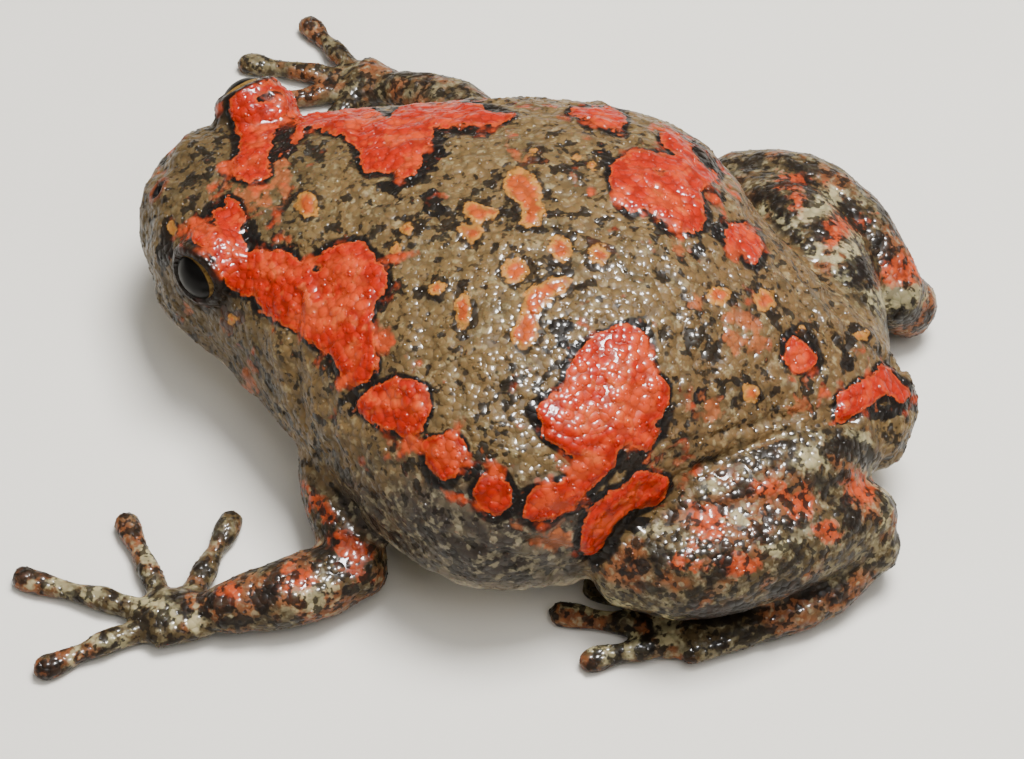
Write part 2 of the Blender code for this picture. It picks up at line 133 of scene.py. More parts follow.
# Limbs: stations of X, Y, Z, half width across, half height
LIMBS = {
    "thigh_left": [
        (24.0, -4.8, 8.0, 3.4, 4.4),
        (21.6, -8.4, 8.2, 4.2, 5.0),
        (17.8, -12.2, 7.8, 4.3, 5.2),
        (14.2, -15.4, 7.0, 3.4, 4.2),
    ],
    "shank_left": [
        (12.7, -17.9, 6.4, 3.0, 3.6),
        (16.8, -17.0, 7.2, 3.9, 4.2),
        (22.2, -13.3, 6.8, 3.7, 3.9),
        (27.0, -8.9, 5.4, 2.5, 2.8),
    ],
    "tarsus_left": [
        (28.0, -9.6, 3.2, 1.9, 2.2),
        (25.6, -13.6, 2.2, 1.8, 1.8),
        (22.0, -16.4, 1.7, 1.9, 1.5),
    ],
    "heel_left": [(26.4, -9.0, 5.2, 2.5, 2.7), (27.7, -9.8, 3.5, 2.3, 2.4)],
    "sole_left": [(20.8, -17.2, 1.4, 1.8, 1.3), (17.0, -18.8, 1.1, 2.6, 1.1)],
    "thigh_right": [
        (22.8, 3.0, 8.0, 3.4, 4.2),
        (20.6, 7.2, 8.2, 4.2, 4.8),
        (17.2, 11.8, 7.8, 4.3, 5.2),
        (13.6, 14.8, 7.0, 3.4, 4.2),
    ],
    "shank_right": [
        (12.2, 17.4, 6.4, 3.0, 3.6),
        (16.6, 16.6, 7.2, 3.8, 4.2),
        (21.2, 14.3, 6.8, 3.5, 3.9),
        (24.8, 11.6, 5.4, 2.5, 2.8),
    ],
    "tarsus_right": [
        (26.2, 12.2, 3.2, 1.9, 2.2),
        (23.8, 15.6, 2.2, 1.8, 1.8),
        (20.2, 17.8, 1.7, 1.9, 1.5),
    ],
    "heel_right": [(24.4, 11.8, 5.2, 2.5, 2.7), (25.9, 12.5, 3.5, 2.3, 2.4)],
    "sole_right": [(19.0, 18.4, 1.4, 1.8, 1.3), (15.2, 19.4, 1.1, 2.6, 1.1)],
    "upper_arm_left": [
        (-10.2, -12.0, 7.0, 2.7, 3.0),
        (-9.2, -16.0, 5.4, 2.8, 2.8),
        (-6.9, -19.8, 3.6, 2.4, 2.4),
    ],
    "forearm_left": [
        (-6.4, -21.2, 3.0, 2.3, 2.3),
        (-9.8, -24.0, 2.8, 2.6, 2.3),
        (-14.2, -26.3, 2.2, 1.9, 1.7),
    ],
    "palm_left": [(-15.8, -27.0, 1.6, 1.8, 1.3), (-18.6, -27.8, 1.3, 2.5, 1.2)],
    "upper_arm_right": [
        (-10.2, 11.4, 7.0, 2.7, 3.0),
        (-9.4, 15.8, 5.4, 2.8, 2.8),
        (-8.2, 19.2, 3.6, 2.4, 2.4),
    ],
    "forearm_right": [
        (-8.8, 20.8, 3.0, 2.3, 2.3),
        (-12.4, 22.8, 2.8, 2.5, 2.3),
        (-16.8, 24.2, 2.2, 1.8, 1.7),
    ],
    "palm_right": [(-18.4, 24.7, 1.6, 1.7, 1.3), (-21.0, 25.2, 1.3, 2.5, 1.2)],
}

# Fingers and toes: the X and Y of each root, then of each tip
DIGITS = {
    "foot_left": (
        [(17.9, -17.4), (17.2, -17.8), (16.4, -18.4), (15.9, -19.0), (16.4, -19.8)],
        [(15.2, -13.8), (12.6, -14.4), (9.8, -16.7), (8.2, -19.5), (11.2, -22.6)],
    ),
    "foot_right": (
        [(16.1, 18.0), (15.4, 18.4), (14.6, 19.0), (14.1, 19.6), (14.6, 20.4)],
        [(13.4, 14.4), (10.8, 15.2), (8.0, 17.4), (6.6, 20.2), (9.4, 23.2)],
    ),
    "hand_left": (
        [(-17.3, -26.8), (-18.5, -27.0), (-19.1, -27.6), (-19.0, -28.4)],
        [(-16.8, -18.4), (-23.9, -20.6), (-29.2, -27.1), (-25.0, -33.6)],
    ),
    "hand_right": (
        [(-20.0, 24.2), (-21.1, 24.5), (-21.6, 25.1), (-21.4, 26.0)],
        [(-23.4, 18.4), (-28.4, 20.4), (-30.4, 24.9), (-26.9, 30.2)],
    ),
}
# Radius of a digit at its root, at its thinnest and at its blunt tip, how far it arches up, how
# much of its underside the floor cuts flat, and the share that its knuckles swell by
DIGIT_RADII = (1.0, 0.72, 0.98)
DIGIT_ARCH = 0.5
FLOOR_DIP = 0.25
DIGIT_KNUCKLES = 0.06
# The finished skin lies at least this far over the floor
FLOOR_GAP = 0.02

# How finely the forms are divided, in rows along them and points round each row
BODY_RINGS, BODY_SIDES = 140, 132
LIMB_RINGS, LIMB_SIDES = 26, 28
MOUND_RINGS, MOUND_SIDES = 36, 56
EYE_RINGS, EYE_SIDES = 64, 96

# Smoothing of the melted forms: steps before and after the face is refined, and the shares of
# the way that each step goes and comes back
SMOOTH_STEPS = (6, 3)
SMOOTH_PULL = 0.5
SMOOTH_HOLD = 0.52
# Creases between the forms: how deep a point lies under its neighbours' mean where filling starts
# and is full, then how often and how strongly that share is spread, and how often it is filled
CREASE_DEPTH = (0.004, 0.03)
CREASE_SPREAD = (3, 1.6)
FILLET_STEPS = 10
# The skin is refined this near the mouth line and past its end, this near the nostrils, and in
# two steps near the lids
MOUTH_MARGIN = 1.3
MOUTH_PAST = 0.5
NOSTRIL_MARGIN = 1.5
LID_MARGINS = (1.6, 0.7)

# Lids: how far out they are shaped, how near the oval points move onto it, and how deep the
# skin sinks below the eyeball
LID_REACH = 4.2
LID_SNAP = 0.06
LID_SUNK = 0.28
# The rim's height under the eye, what it gains over it, the level where that begins, and its
# width. Then the furrow beyond the rim: depth, place and width.
LID_RIM = (0.10, 0.16, -0.5, 0.30)
LID_FURROW = (0.10, 1.0, 0.28)

# Features of the face, each with its height, its distance from the line or spot, and its width
LIPS = (0.16, 0.62, 0.42)
MOUTH_GROOVE = (-0.42, 0.0, 0.20)
NOSTRIL_RING = (0.14, 0.95, 0.25)
NOSTRIL_PIT = (-0.65, 0.0, 0.50)

# Tubercles: smallest radius and what the largest adds, the share that they lose on the limbs,
# height over radius, how deep the foot is sunk over radius, and the shares of radius and height
# where the shoulder lies
TUBERCLE_RADII = (0.12, 0.15)
TUBERCLE_LIMB_LOSS = 0.35
TUBERCLE_HEIGHT = 0.25
TUBERCLE_FOOT = -0.2
TUBERCLE_SHOULDER = (0.66, 0.74)
TUBERCLE_SIDES = 5
# They keep this far from the lids' edges and the mouth line, stand above this height, and leave
# out the belly where its share is above this
TUBERCLE_GAPS = {"lid": 0.5, "mouth": 0.8}
TUBERCLE_LOWEST = 0.8
BELLY_SHARE = 0.4

# Red patches rise between these distances from their outline, over a sunk border with its share
# of their height, its place and its width. Tan ones rise by this share, between these distances.
PATCH_EDGE = (-0.1, 0.35)
PATCH_BORDER = (0.5, -0.35, 0.3)
TAN_RISE = 0.5
TAN_EDGE = (-0.1, 0.3)
# Slow lumps of the skin: the length of their waves and their share, and their share on limbs
LUMPS = ((3.2, 1.0), (1.5, 0.7))
LIMB_LUMPS = 0.5
# Relief fades in between these distances from the lids' edges, and lumps between these heights
LID_CALM = (0.2, 1.2)
FLOOR_CALM = (0.1, 1.0)
# Swelling beside a fold: its share of the depth, its place and its width in the fold's half widths
FOLD_SWELL = (0.45, 2.4, 1.4)

# Marks up to this distance out of the lids' mounds lie where the camera sees them, and the others
# are carried round the body
LID_SKIN = 0.4
# A limb's colours begin between these distances out of the body, and the belly's where the skin
# faces down by these shares
LIMB_FADE = (0.25, 1.0)
BELLY_FADE = (0.15, 0.75)
# Limb marks appear where the skin faces the camera by these shares, and elsewhere they shrink by
# this many millimetres
FACING_FADE = (-0.25, 0.1)
LIMB_MARK_LOSS = 3.0
# The head is darker in front of the first place along X, over this length; the rear is warmer
# between two places along X and between two heights
HEAD_FADE = (-12.0, 6.0)
REAR_ALONG = (8.0, 16.0)
REAR_HEIGHT = (9.0, 14.0)
# The lower flank's colours begin between these rows of the picture, and end over this many pixels
# left of this column
FLANK_ROWS = (430, 520)
FLANK_COLUMN = 620
FLANK_LENGTH = 60

# Red patches: outlines on the picture, each with the lowest height that it reaches
RED_PATCHES = {
    "right_shoulder": (0.0, [
        (306, 126), (309, 114), (327, 111), (351, 108), (376, 111), (389, 119), (400, 106),
        (434, 104), (464, 103), (491, 111), (514, 116), (490, 124), (454, 127), (432, 127),
        (438, 141), (424, 151), (420, 167), (408, 178), (391, 171), (362, 169), (359, 151),
        (338, 135),
    ]),
    "right_lid": (11.0, [
        (229, 110), (234, 97), (246, 88), (262, 84), (280, 83), (295, 88), (304, 101), (307, 118),
        (303, 134), (296, 142), (284, 152), (272, 162), (268, 176), (252, 182), (234, 176),
        (231, 164), (238, 150), (240, 138), (234, 124),
    ]),
    "left_lid": (9.5, [
        (224, 198), (236, 199), (246, 217), (241, 232), (250, 251), (262, 250), (264, 270),
        (262, 294), (237, 294), (224, 282), (211, 253), (194, 242), (192, 229), (217, 228),
        (211, 212), (226, 206),
    ]),
    "left_shoulder": (0.0, [
        (257, 258), (285, 250), (301, 262), (317, 256), (340, 243), (361, 241), (373, 255),
        (388, 280), (373, 309), (376, 346), (376, 370), (362, 385), (345, 380), (331, 358),
        (300, 333), (272, 319), (258, 300),
    ]),
    "left_flank_front": (0.0, [
        (356, 406), (368, 390), (386, 380), (408, 379), (427, 389), (430, 411), (421, 430),
        (408, 439), (392, 430), (372, 424),
    ]),
    "left_flank_middle": (0.0, [
        (422, 442), (438, 435), (456, 434), (466, 452), (459, 472), (445, 482), (429, 468),
    ]),
    "left_flank_back": (0.0, [
        (473, 489), (487, 474), (505, 477), (514, 501), (498, 515), (480, 508),
    ]),
    "left_hip": (0.0, [
        (583, 344), (600, 332), (628, 325), (647, 337), (652, 368), (669, 386), (665, 409),
        (659, 434), (646, 451), (630, 443), (618, 450), (614, 468), (595, 485), (575, 507),
        (547, 521), (526, 518), (528, 494), (547, 483), (568, 476), (579, 464), (560, 449),
        (542, 434), (541, 404), (565, 385), (569, 366),
    ]),
    "left_groin": (0.0, [
        (622, 486), (637, 471), (660, 475), (669, 483), (660, 501), (639, 509), (621, 517),
        (607, 537), (593, 556), (580, 549), (580, 530), (593, 507),
    ]),
    "right_side": (0.0, [(569, 113), (595, 107), (613, 109), (626, 119), (617, 129), (592, 124)]),
    "right_hip": (0.0, [
        (609, 178), (614, 161), (632, 152), (655, 152), (677, 156), (666, 145), (661, 138),
        (667, 131), (685, 139), (701, 160), (719, 176), (701, 192), (705, 222), (689, 233),
        (669, 226), (649, 210), (624, 210), (614, 194),
    ]),
    "right_loin": (0.0, [
        (728, 226), (743, 222), (750, 230), (760, 240), (762, 253), (756, 264), (748, 263),
        (741, 253), (727, 246), (724, 236),
    ]),
    "rump": (0.0, [
        (837, 398), (844, 391), (855, 384), (869, 377), (880, 366), (888, 365), (896, 379),
        (908, 390), (908, 401), (898, 403), (890, 396), (878, 399), (867, 407), (855, 414),
        (844, 421), (836, 417),
    ]),
    "rump_spot": (0.0, [
        (788, 338), (800, 340), (812, 350), (816, 362), (808, 371), (795, 371), (784, 358),
    ]),
    "far_shoulder": (0.0, [
        (330, 20), (370, 4), (420, 10), (446, 30), (430, 52), (392, 44), (356, 58), (334, 44),
    ]),
    "far_flank": (0.0, [
        (500, -40), (552, -62), (590, -40), (600, -4), (640, 14), (612, 40), (566, 22), (528, 4),
    ]),
    "far_hip": (0.0, [(690, 30), (730, 22), (752, 52), (738, 88), (708, 96), (688, 66)]),
}

# Black notches in the red patches: place, half width and half height in pixels
NOTCHES = [
    (270, 96, 12, 5), (262, 99, 6, 4), (288, 128, 9, 12), (282, 142, 11, 13), (274, 156, 6, 9),
    (438, 141, 7, 11), (372, 118, 6, 3), (660, 172, 5, 3), (318, 268, 4, 3), (660, 424, 6, 4),
]
# Dull salmon marks with soft edges: place, half width and half height in pixels
SALMON_SPOTS = [
    (252, 196, 19, 15), (240, 190, 10, 10), (262, 202, 10, 9), (281, 178, 10, 17),
    (232, 322, 11, 9), (697, 299, 8, 8), (737, 319, 12, 10), (736, 340, 8, 14), (711, 412, 13, 15),
    (755, 338, 11, 16), (680, 246, 8, 6), (556, 540, 22, 12), (250, 384, 7, 20), (798, 407, 10, 8),
    (743, 184, 8, 6), (150, 172, 8, 4), (172, 148, 8, 4), (187, 311, 4, 4), (600, 248, 10, 8),
    (196, 232, 8, 5), (528, 158, 12, 6), (540, 520, 26, 10),
]

# Dull orange and tan marks with a thin dark edge: outlines on the picture
TAN_PATCHES = {
    "back_hook": [
        (501, 185), (511, 169), (528, 171), (543, 192), (541, 201), (546, 210), (536, 226),
        (518, 226), (522, 212), (508, 196),
    ],
    "back_bar": [
        (551, 279), (569, 275), (569, 286), (542, 309), (539, 335), (523, 350), (510, 335),
        (520, 314), (528, 291),
    ],
    "back_streak": [(460, 205), (477, 203), (498, 211), (491, 220), (472, 224)],
    "back_wedge": [(458, 228), (479, 226), (484, 233), (470, 244)],
}
# The same as round spots: place, half width and half height in pixels
TAN_SPOTS = [
    (599, 255, 11, 11), (515, 270, 13, 13), (561, 248, 13, 13), (463, 311, 9, 18),
    (308, 205, 12, 12), (408, 229, 7, 7), (396, 249, 6, 6), (437, 290, 9, 7), (534, 153, 5, 5),
    (576, 156, 4, 4), (592, 165, 5, 5), (718, 295, 12, 10), (765, 301, 12, 11), (800, 333, 7, 6),
    (860, 336, 8, 4), (751, 393, 8, 9), (233, 320, 5, 5), (171, 228, 5, 6), (420, 40, 8, 8),
    (475, 60, 10, 8), (640, 80, 9, 9), (560, 60, 8, 6), (310, 60, 8, 8), (700, 130, 7, 6),
]
# Black blotches beside the patches: place, half width and half height in pixels
BLACK_SPOTS = [
    (269, 97, 12, 5), (286, 142, 14, 17), (252, 233, 9, 18), (433, 202, 12, 12),
    (432, 155, 12, 10), (282, 254, 18, 6), (382, 290, 8, 24), (607, 158, 8, 8),
    (652, 214, 5, 6), (536, 160, 9, 5), (874, 412, 22, 8), (628, 462, 16, 14), (722, 228, 10, 12),
    (716, 196, 9, 8), (600, 500, 16, 8), (396, 190, 14, 8), (700, 250, 8, 10),
    (850, 362, 6, 7), (165, 250, 10, 18), (700, 400, 10, 7), (560, 330, 8, 14),
    (640, 525, 20, 8), (350, 400, 8, 10), (470, 470, 10, 7),
]
# Marks on the limbs, as the picture shows them: place, half width and half height in pixels
LIMB_ORANGE = [
    (862, 488, 16, 17), (708, 524, 18, 18), (899, 271, 21, 18), (796, 181, 17, 9),
    (798, 203, 8, 12), (862, 223, 9, 9), (836, 232, 16, 16), (338, 498, 28, 26), (354, 542, 24, 26),
    (299, 582, 16, 16), (740, 566, 20, 10), (800, 506, 12, 14), (828, 530, 12, 9),
    (306, 478, 8, 12), (770, 490, 14, 8), (690, 560, 12, 8), (352, 572, 14, 8), (228, 592, 10, 7),
]
# Cream marks: the streak at (700, 484) along the top of the left shank is a painted highlight; the
# others are pale bands and spots of the skin
LIMB_CREAM = [
    (896, 298, 30, 13), (668, 628, 17, 12), (632, 640, 11, 10), (602, 648, 13, 8),
    (596, 606, 32, 8), (786, 222, 14, 8), (815, 209, 14, 8), (846, 278, 8, 9),
    (884, 474, 18, 8), (886, 512, 5, 20), (312, 598, 14, 11), (330, 590, 9, 8), (170, 612, 14, 12),
    (700, 484, 20, 6), (812, 462, 14, 9), (868, 432, 22, 10), (322, 480, 10, 6), (140, 600, 12, 8),
    (60, 584, 20, 6), (110, 640, 12, 8), (150, 556, 7, 14), (742, 520, 10, 7), (650, 520, 12, 7),
    (806, 252, 16, 10), (780, 548, 16, 6), (196, 618, 12, 10), (88, 592, 8, 6), (76, 656, 8, 6),
    (850, 246, 12, 11), (762, 212, 8, 7), (830, 200, 10, 7), (772, 236, 10, 6), (836, 262, 6, 10),
]
LIMB_BLACK = [
    (854, 275, 23, 14), (908, 314, 22, 9), (795, 237, 9, 7), (645, 634, 6, 18),
    (617, 644, 5, 12), (262, 602, 12, 14), (720, 612, 40, 12), (838, 448, 12, 14),
    (800, 590, 30, 10), (350, 590, 14, 6), (540, 606, 30, 9), (206, 606, 8, 14), (850, 512, 10, 16),
    (50, 664, 12, 10), (640, 560, 16, 10), (232, 620, 16, 6), (870, 456, 16, 7),
    (760, 198, 9, 5), (777, 205, 7, 7), (761, 225, 7, 5), (848, 212, 8, 6), (807, 189, 7, 6),
    (876, 260, 9, 5), (880, 236, 10, 6),
]
# Folds of skin, as lines on the picture: depth, half width, then the points
FOLDS = [
    (0.22, 0.22, [(776, 262), (795, 286), (806, 306), (822, 330), (850, 352)]),
    (0.25, 0.28, [(826, 296), (848, 322), (872, 346), (900, 368)]),
    (0.40, 0.35, [(700, 470), (745, 450), (785, 436), (822, 424), (852, 420)]),
    (0.20, 0.25, [(690, 440), (740, 428), (790, 416), (832, 408)]),
    (0.25, 0.40, [(300, 300), (292, 350), (300, 400), (330, 450)]),
    (0.18, 0.30, [(560, 575), (520, 560), (470, 545), (420, 520)]),
    (0.18, 0.30, [(600, 560), (560, 548), (520, 536)]),
]
SEED = 8
# Keeps a length from being divided by zero
TINY = 1e-6
# The distance given to places beyond every mark, in millimetres and in pixels
BEYOND = 5.0
FAR = 60.0

# Patterns in the skin's colours: size of each noise in millimetres, its detail and its seed
NOISES = {
    "cloud": (7.0, 2.0, 0.0), "stain": (3.2, 2.0, 1.0), "blot": (2.0, 3.0, 2.0),
    "mottle": (1.0, 2.5, 3.0), "fine": (0.6, 2.0, 4.0), "grit": (0.22, 2.0, 5.0),
}
# Distance between neighbouring granules, and between neighbouring dark dots
GRANULE_SIZE = 0.62
DOT_SPACING = 0.95

# Lights: name, way to it (right, ahead and up), distance and size, aimed at the camera's target.
# The glint is a small lamp that only wet surfaces mirror; the others light the colours.
LIGHTS = (
    ("key", (0.2, 0.1, 1.0), 300.0, 110.0),
    ("top", (0.3, -0.3, 1.0), 400.0, 300.0),
    ("side", (-1.0, -0.4, 0.7), 400.0, 300.0),
    ("glint", (0.2, -0.05, 1.0), 300.0, 78.0),
)
SIDE_SHARE = 0.3
SKY_COLOUR = "#f2f1ee"
SKY_STRENGTH = 0.22


def linear(code):
    """Linear red, green, blue and alpha of an sRGB colour written as hex."""
    parts = np.array([int(code.lstrip("#")[k : k + 2], 16) / 255 for k in (0, 2, 4)])
    low, high = parts / 12.92, ((parts + 0.055) / 1.055) ** 2.4
    return (*np.where(parts <= 0.04045, low, high).tolist(), 1.0)


def step_up(values, low, high):
    """0 below low, 1 above high, and a smooth rise between them: t squared times 3 less 2 t."""
    t = np.clip((np.asarray(values, float) - low) / (high - low), 0, 1)
    return t * t * (3 - 2 * t)


def bell(values, width):
    """1 at zero, falling away as the exponential of minus the square of values over width."""
    return np.exp(-((values / width) ** 2))


def waves(points, length, seed, count=20):
    """Smooth lumps between about -1 and 1: the sum of sine waves of about this length, each
    running its own seeded way, over the square root of half their number."""
    draw = np.random.default_rng(seed)
    ways = draw.normal(size=(count, 3))
    ways *= 2 * np.pi / length / np.linalg.norm(ways, axis=1)[:, None]
    ways *= draw.uniform(0.7, 1.4, (count, 1))
    phase = draw.uniform(0, 2 * np.pi, count)
    return np.sin(points @ ways.T + phase).sum(axis=1) / np.sqrt(count / 2)


def smooth(stations, places):
    """Catmull-Rom curve through the stations, read at places counted in stations."""
    table = np.array(stations, float)
    padded = np.vstack([2 * table[0] - table[1], table, 2 * table[-1] - table[-2]])
    index = np.minimum(places.astype(int), len(table) - 2)
    t = (places - index)[:, None]
    p0, p1, p2, p3 = (padded[index + k] for k in range(4))
    return 0.5 * (
        2 * p1 + (p2 - p0) * t + (2 * p0 - 5 * p1 + 4 * p2 - p3) * t**2
        + (3 * p1 - p0 - 3 * p2 + p3) * t**3
    )


def camera_axes():
    """The camera's place and its right, up and backward unit vectors."""
    turn, rise = np.radians(CAMERA_AZIMUTH), np.radians(CAMERA_ELEVATION)
    back = np.array([np.sin(turn) * np.cos(rise), -np.cos(turn) * np.cos(rise), np.sin(rise)])
    right = np.array([np.cos(turn), np.sin(turn), 0.0])
    place = np.array(CAMERA_TARGET) + back * CAMERA_DISTANCE
    return place, right, np.cross(back, right), back


def on_picture(points):
    """Pixels of points seen by the camera: sideways and upward distance over depth, times the
    focal length in pixels."""
    place, right, up, back = camera_axes()
    away = points - place
    scale = PIXELS_PER_MM * CAMERA_DISTANCE / -(away @ back)
    return np.stack([
        PICTURE[0] / 2 + (away @ right) * scale,
        PICTURE[1] / 2 - (away @ up) * scale,
    ], 1)


def cap_rows(steps=6):
    """Reach and shrink of the rows of a rounded end: sine and cosine of angles up to 90 degrees."""
    angle = np.linspace(0, np.pi / 2, steps + 1)[1:-1]
    return np.sin(angle), np.cos(angle)


def body_surface(rings=BODY_RINGS, sides=BODY_SIDES):
    """Rows of points round the head and trunk. Each section is a superellipse: the signed cosine
    and sine of the turn, to the power two over squareness, times the half width and the rise
    above or below the widest height. Rounded caps close the snout and the vent."""
    table = smooth(BODY, np.linspace(0, len(BODY) - 1, rings))
    reach, shrink = cap_rows()
    first, last = table[0], table[-1]
    ends = [np.repeat(row[None], len(reach), 0) for row in (first, last)]
    rows = np.vstack([ends[0], table, ends[1]])
    along = np.concatenate([-SNOUT_CAP * reach[::-1], np.zeros(rings), VENT_CAP * reach])
    less = np.concatenate([shrink[::-1], np.ones(rings), shrink])
    x, shift, half, back, belly, wide, square = rows.T[:, :, None]
    turn = np.linspace(0, 2 * np.pi, sides, endpoint=False)[None, :]
    across = np.sign(np.cos(turn)) * np.abs(np.cos(turn)) ** (2 / square)
    above = np.sign(np.sin(turn)) * np.abs(np.sin(turn)) ** (2 / square)
    rise = np.where(above > 0, back - wide, wide - belly) * less[:, None]
    grid = np.stack([
        (x + along[:, None]) * np.ones_like(turn),
        shift + across * half * less[:, None],
        wide + above * rise,
    ], -1)
    poles = [
        (row[0] + cap, row[1], row[5])
        for row, cap in ((first, -SNOUT_CAP), (last, VENT_CAP))
    ]
    return grid, np.array(poles)


def tube_surface(stations, rings=LIMB_RINGS, sides=LIMB_SIDES, knuckles=0.0):
    """Rows of points round a limb: ovals square to a smooth path, as wide and high as its
    stations say, with rounded ends. Knuckles swell it by that share, two and a half times
    along its length."""
    table = smooth(stations, np.linspace(0, len(stations) - 1, rings))
    path = table[:, :3]
    swell = 1 + knuckles * np.cos(np.linspace(0, 5 * np.pi, rings))
    half = table[:, 3:5] * swell[:, None]
    along = np.gradient(path, axis=0)
    along /= np.linalg.norm(along, axis=1)[:, None]
    side = np.cross((0, 0, 1), along)
    side /= np.linalg.norm(side, axis=1)[:, None]
    up = np.cross(along, side)
    reach, shrink = cap_rows()
    pick = np.clip(np.arange(-len(reach), rings + len(reach)), 0, rings - 1)
    less = np.concatenate([shrink[::-1], np.ones(rings), shrink])
    out = np.concatenate([-reach[::-1], np.zeros(rings), reach]) * half[pick].min(axis=1)
    turn = np.linspace(0, 2 * np.pi, sides, endpoint=False)
    oval = (
        np.cos(turn)[None, :, None] * (side[pick] * (half[pick, 0] * less)[:, None])[:, None, :]
        + np.sin(turn)[None, :, None] * (up[pick] * (half[pick, 1] * less)[:, None])[:, None, :]
    )
    grid = (path[pick] + along[pick] * out[:, None])[:, None, :] + oval
    poles = [path[0] - along[0] * half[0].min(), path[-1] + along[-1] * half[-1].min()]
    return grid, np.array(poles)


def ball_surface(centre, radius, axis, rings=MOUND_RINGS, sides=MOUND_SIDES):
    """Rows of points on a sphere: circles about its axis, by the sine and cosine of the angle
    from it."""
    axis = np.array(axis, float) / np.linalg.norm(axis)
    side = np.cross((0, 0, 1), axis)
    side /= np.linalg.norm(side)
    up = np.cross(axis, side)
    tilt = np.linspace(0, np.pi, rings + 1)[1:-1, None, None]
    turn = np.linspace(0, 2 * np.pi, sides, endpoint=False)[None, :, None]
    around = np.cos(turn) * side + np.sin(turn) * up
    grid = centre + radius * (-np.cos(tilt) * axis + np.sin(tilt) * around)
    return grid, np.array([centre - radius * axis, centre + radius * axis])


def digit_stations(root, tip):
    """Stations of a finger or toe: straight in plan, arched by four times t less t squared."""
    thick, thin, end = DIGIT_RADII
    t = np.array([0, 0.35, 0.72, 1.0])
    radius = np.array([thick, 0.5 * (thick + thin), thin, end])
    plan = np.array(root) + np.outer(t, np.array(tip) - np.array(root))
    height = radius - FLOOR_DIP + DIGIT_ARCH * 4 * t * (1 - t)
    return np.column_stack([plan, height, radius, radius])


def closed_faces(rows, sides, first):
    """Corners of the quads between neighbouring rows, and of the triangles round both poles,
    counted on from this first point."""
    r, s = np.meshgrid(np.arange(rows - 1), np.arange(sides), indexing="ij")
    a, b = r * sides + s, r * sides + (s + 1) % sides
    quads = np.stack([a, b, b + sides, a + sides], -1).reshape(-1, 4)
    here, last = np.arange(sides), (rows - 1) * sides
    after = (here + 1) % sides
    start, end = np.full(sides, rows * sides), np.full(sides, rows * sides + 1)
    fans = np.vstack([
        np.stack([start, after, here], 1),
        np.stack([end, last + here, last + after], 1),
    ])
    return (quads + first).tolist() + (fans + first).tolist()


def mesh_of(name, points, faces):
    """A mesh of these points, in millimetres, and faces."""
    mesh = bpy.data.meshes.new(name)
    mesh.from_pydata((points * MM).tolist(), [], faces)
    mesh.update()
    return mesh


def closed_mesh(name, surfaces):
    """One mesh of several closed surfaces, each given as its rows and two poles."""
    points, faces, count = [], [], 0
    for grid, poles in surfaces:
        rows, sides = grid.shape[:2]
        faces += closed_faces(rows, sides, count)
        points += [grid.reshape(-1, 3), poles]
        count += rows * sides + 2
    return mesh_of(name, np.vstack(points), faces)


def add_object(name, mesh):
    """Puts a mesh in the scene as an object at the origin."""
    obj = bpy.data.objects.new(name, mesh)
    bpy.context.scene.collection.objects.link(obj)
    return obj


def read_all(items, name, kind=float, width=3):
    """One property of all these parts of a mesh, as an array with a row for each."""
    flat = np.empty(len(items) * width, kind)
    items.foreach_get(name, flat)
    return flat.reshape(-1, width)


def points_of(mesh):
    """The mesh's points in millimetres, as an array."""
    return read_all(mesh.vertices, "co") / MM


def normals_of(mesh):
    """The mesh's outward unit vectors at its points."""
    return read_all(mesh.vertex_normals, "vector")


def put_points(mesh, points):
    """Moves the mesh's points to these places, in millimetres."""
    mesh.vertices.foreach_set("co", (points * MM).ravel())
    mesh.update()


def edges_of(mesh):
    """The two ends of each edge."""
    return read_all(mesh.edges, "vertices", int, 2)


def neighbour_mean(values, edges):
    """For each point the mean of its neighbours' values: sums over the edges' ends, divided by
    the number of edges there."""
    count, (a, b) = len(values), edges.T
    degree = np.bincount(a, minlength=count) + np.bincount(b, minlength=count)
    total = [
        np.bincount(a, column[b], count) + np.bincount(b, column[a], count)
        for column in values.T
    ]
    return np.stack(total, 1) / np.maximum(degree, 1)[:, None]


def relax(points, edges, steps, hold=0.0):
    """Smooths a surface: each step moves points a share of the way to their neighbours' mean,
    then back by hold, which keeps the volume when it is a little more than that share."""
    for _ in range(steps):
        points = points + SMOOTH_PULL * (neighbour_mean(points, edges) - points)
        if hold:
            points = points - hold * (neighbour_mean(points, edges) - points)
    return points


def evaluated_mesh(obj):
    """What the object's modifiers make of it, as a mesh of its own."""
    bpy.context.view_layer.update()
    return bpy.data.meshes.new_from_object(obj.evaluated_get(bpy.context.evaluated_depsgraph_get()))


def refine(obj, chosen):
    """Halves the edges of the chosen faces."""
    mesh = obj.data
    for part in (mesh.vertices, mesh.edges):
        part.foreach_set("select", np.zeros(len(part), bool))
    mesh.polygons.foreach_set("select", chosen)
    for other in bpy.context.view_layer.objects:
        other.select_set(other == obj)
    bpy.context.view_layer.objects.active = obj
    bpy.context.tool_settings.mesh_select_mode = (False, False, True)
    bpy.ops.object.mode_set(mode="EDIT")
    bpy.ops.mesh.subdivide(number_cuts=1)
    bpy.ops.object.mode_set(mode="OBJECT")


def face_middles(mesh):
    """The middle of each face, in millimetres."""
    return read_all(mesh.polygons, "center") / MM


def eye_place(side):
    """Centre and radius of an eye's solid, and the unit vector that it looks along."""
    low, high = (np.array(corner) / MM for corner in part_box("eye_" + side))
    look = np.array(EYE_LOOK[side])
    return (low + high) / 2, (high - low).max() / 2, look / np.linalg.norm(look)


def opening_axis(side):
    """The unit vector through the middle of the lids' opening."""
    axis = eye_place(side)[2] + np.array(LID_TURN[side])
    return axis / np.linalg.norm(axis)


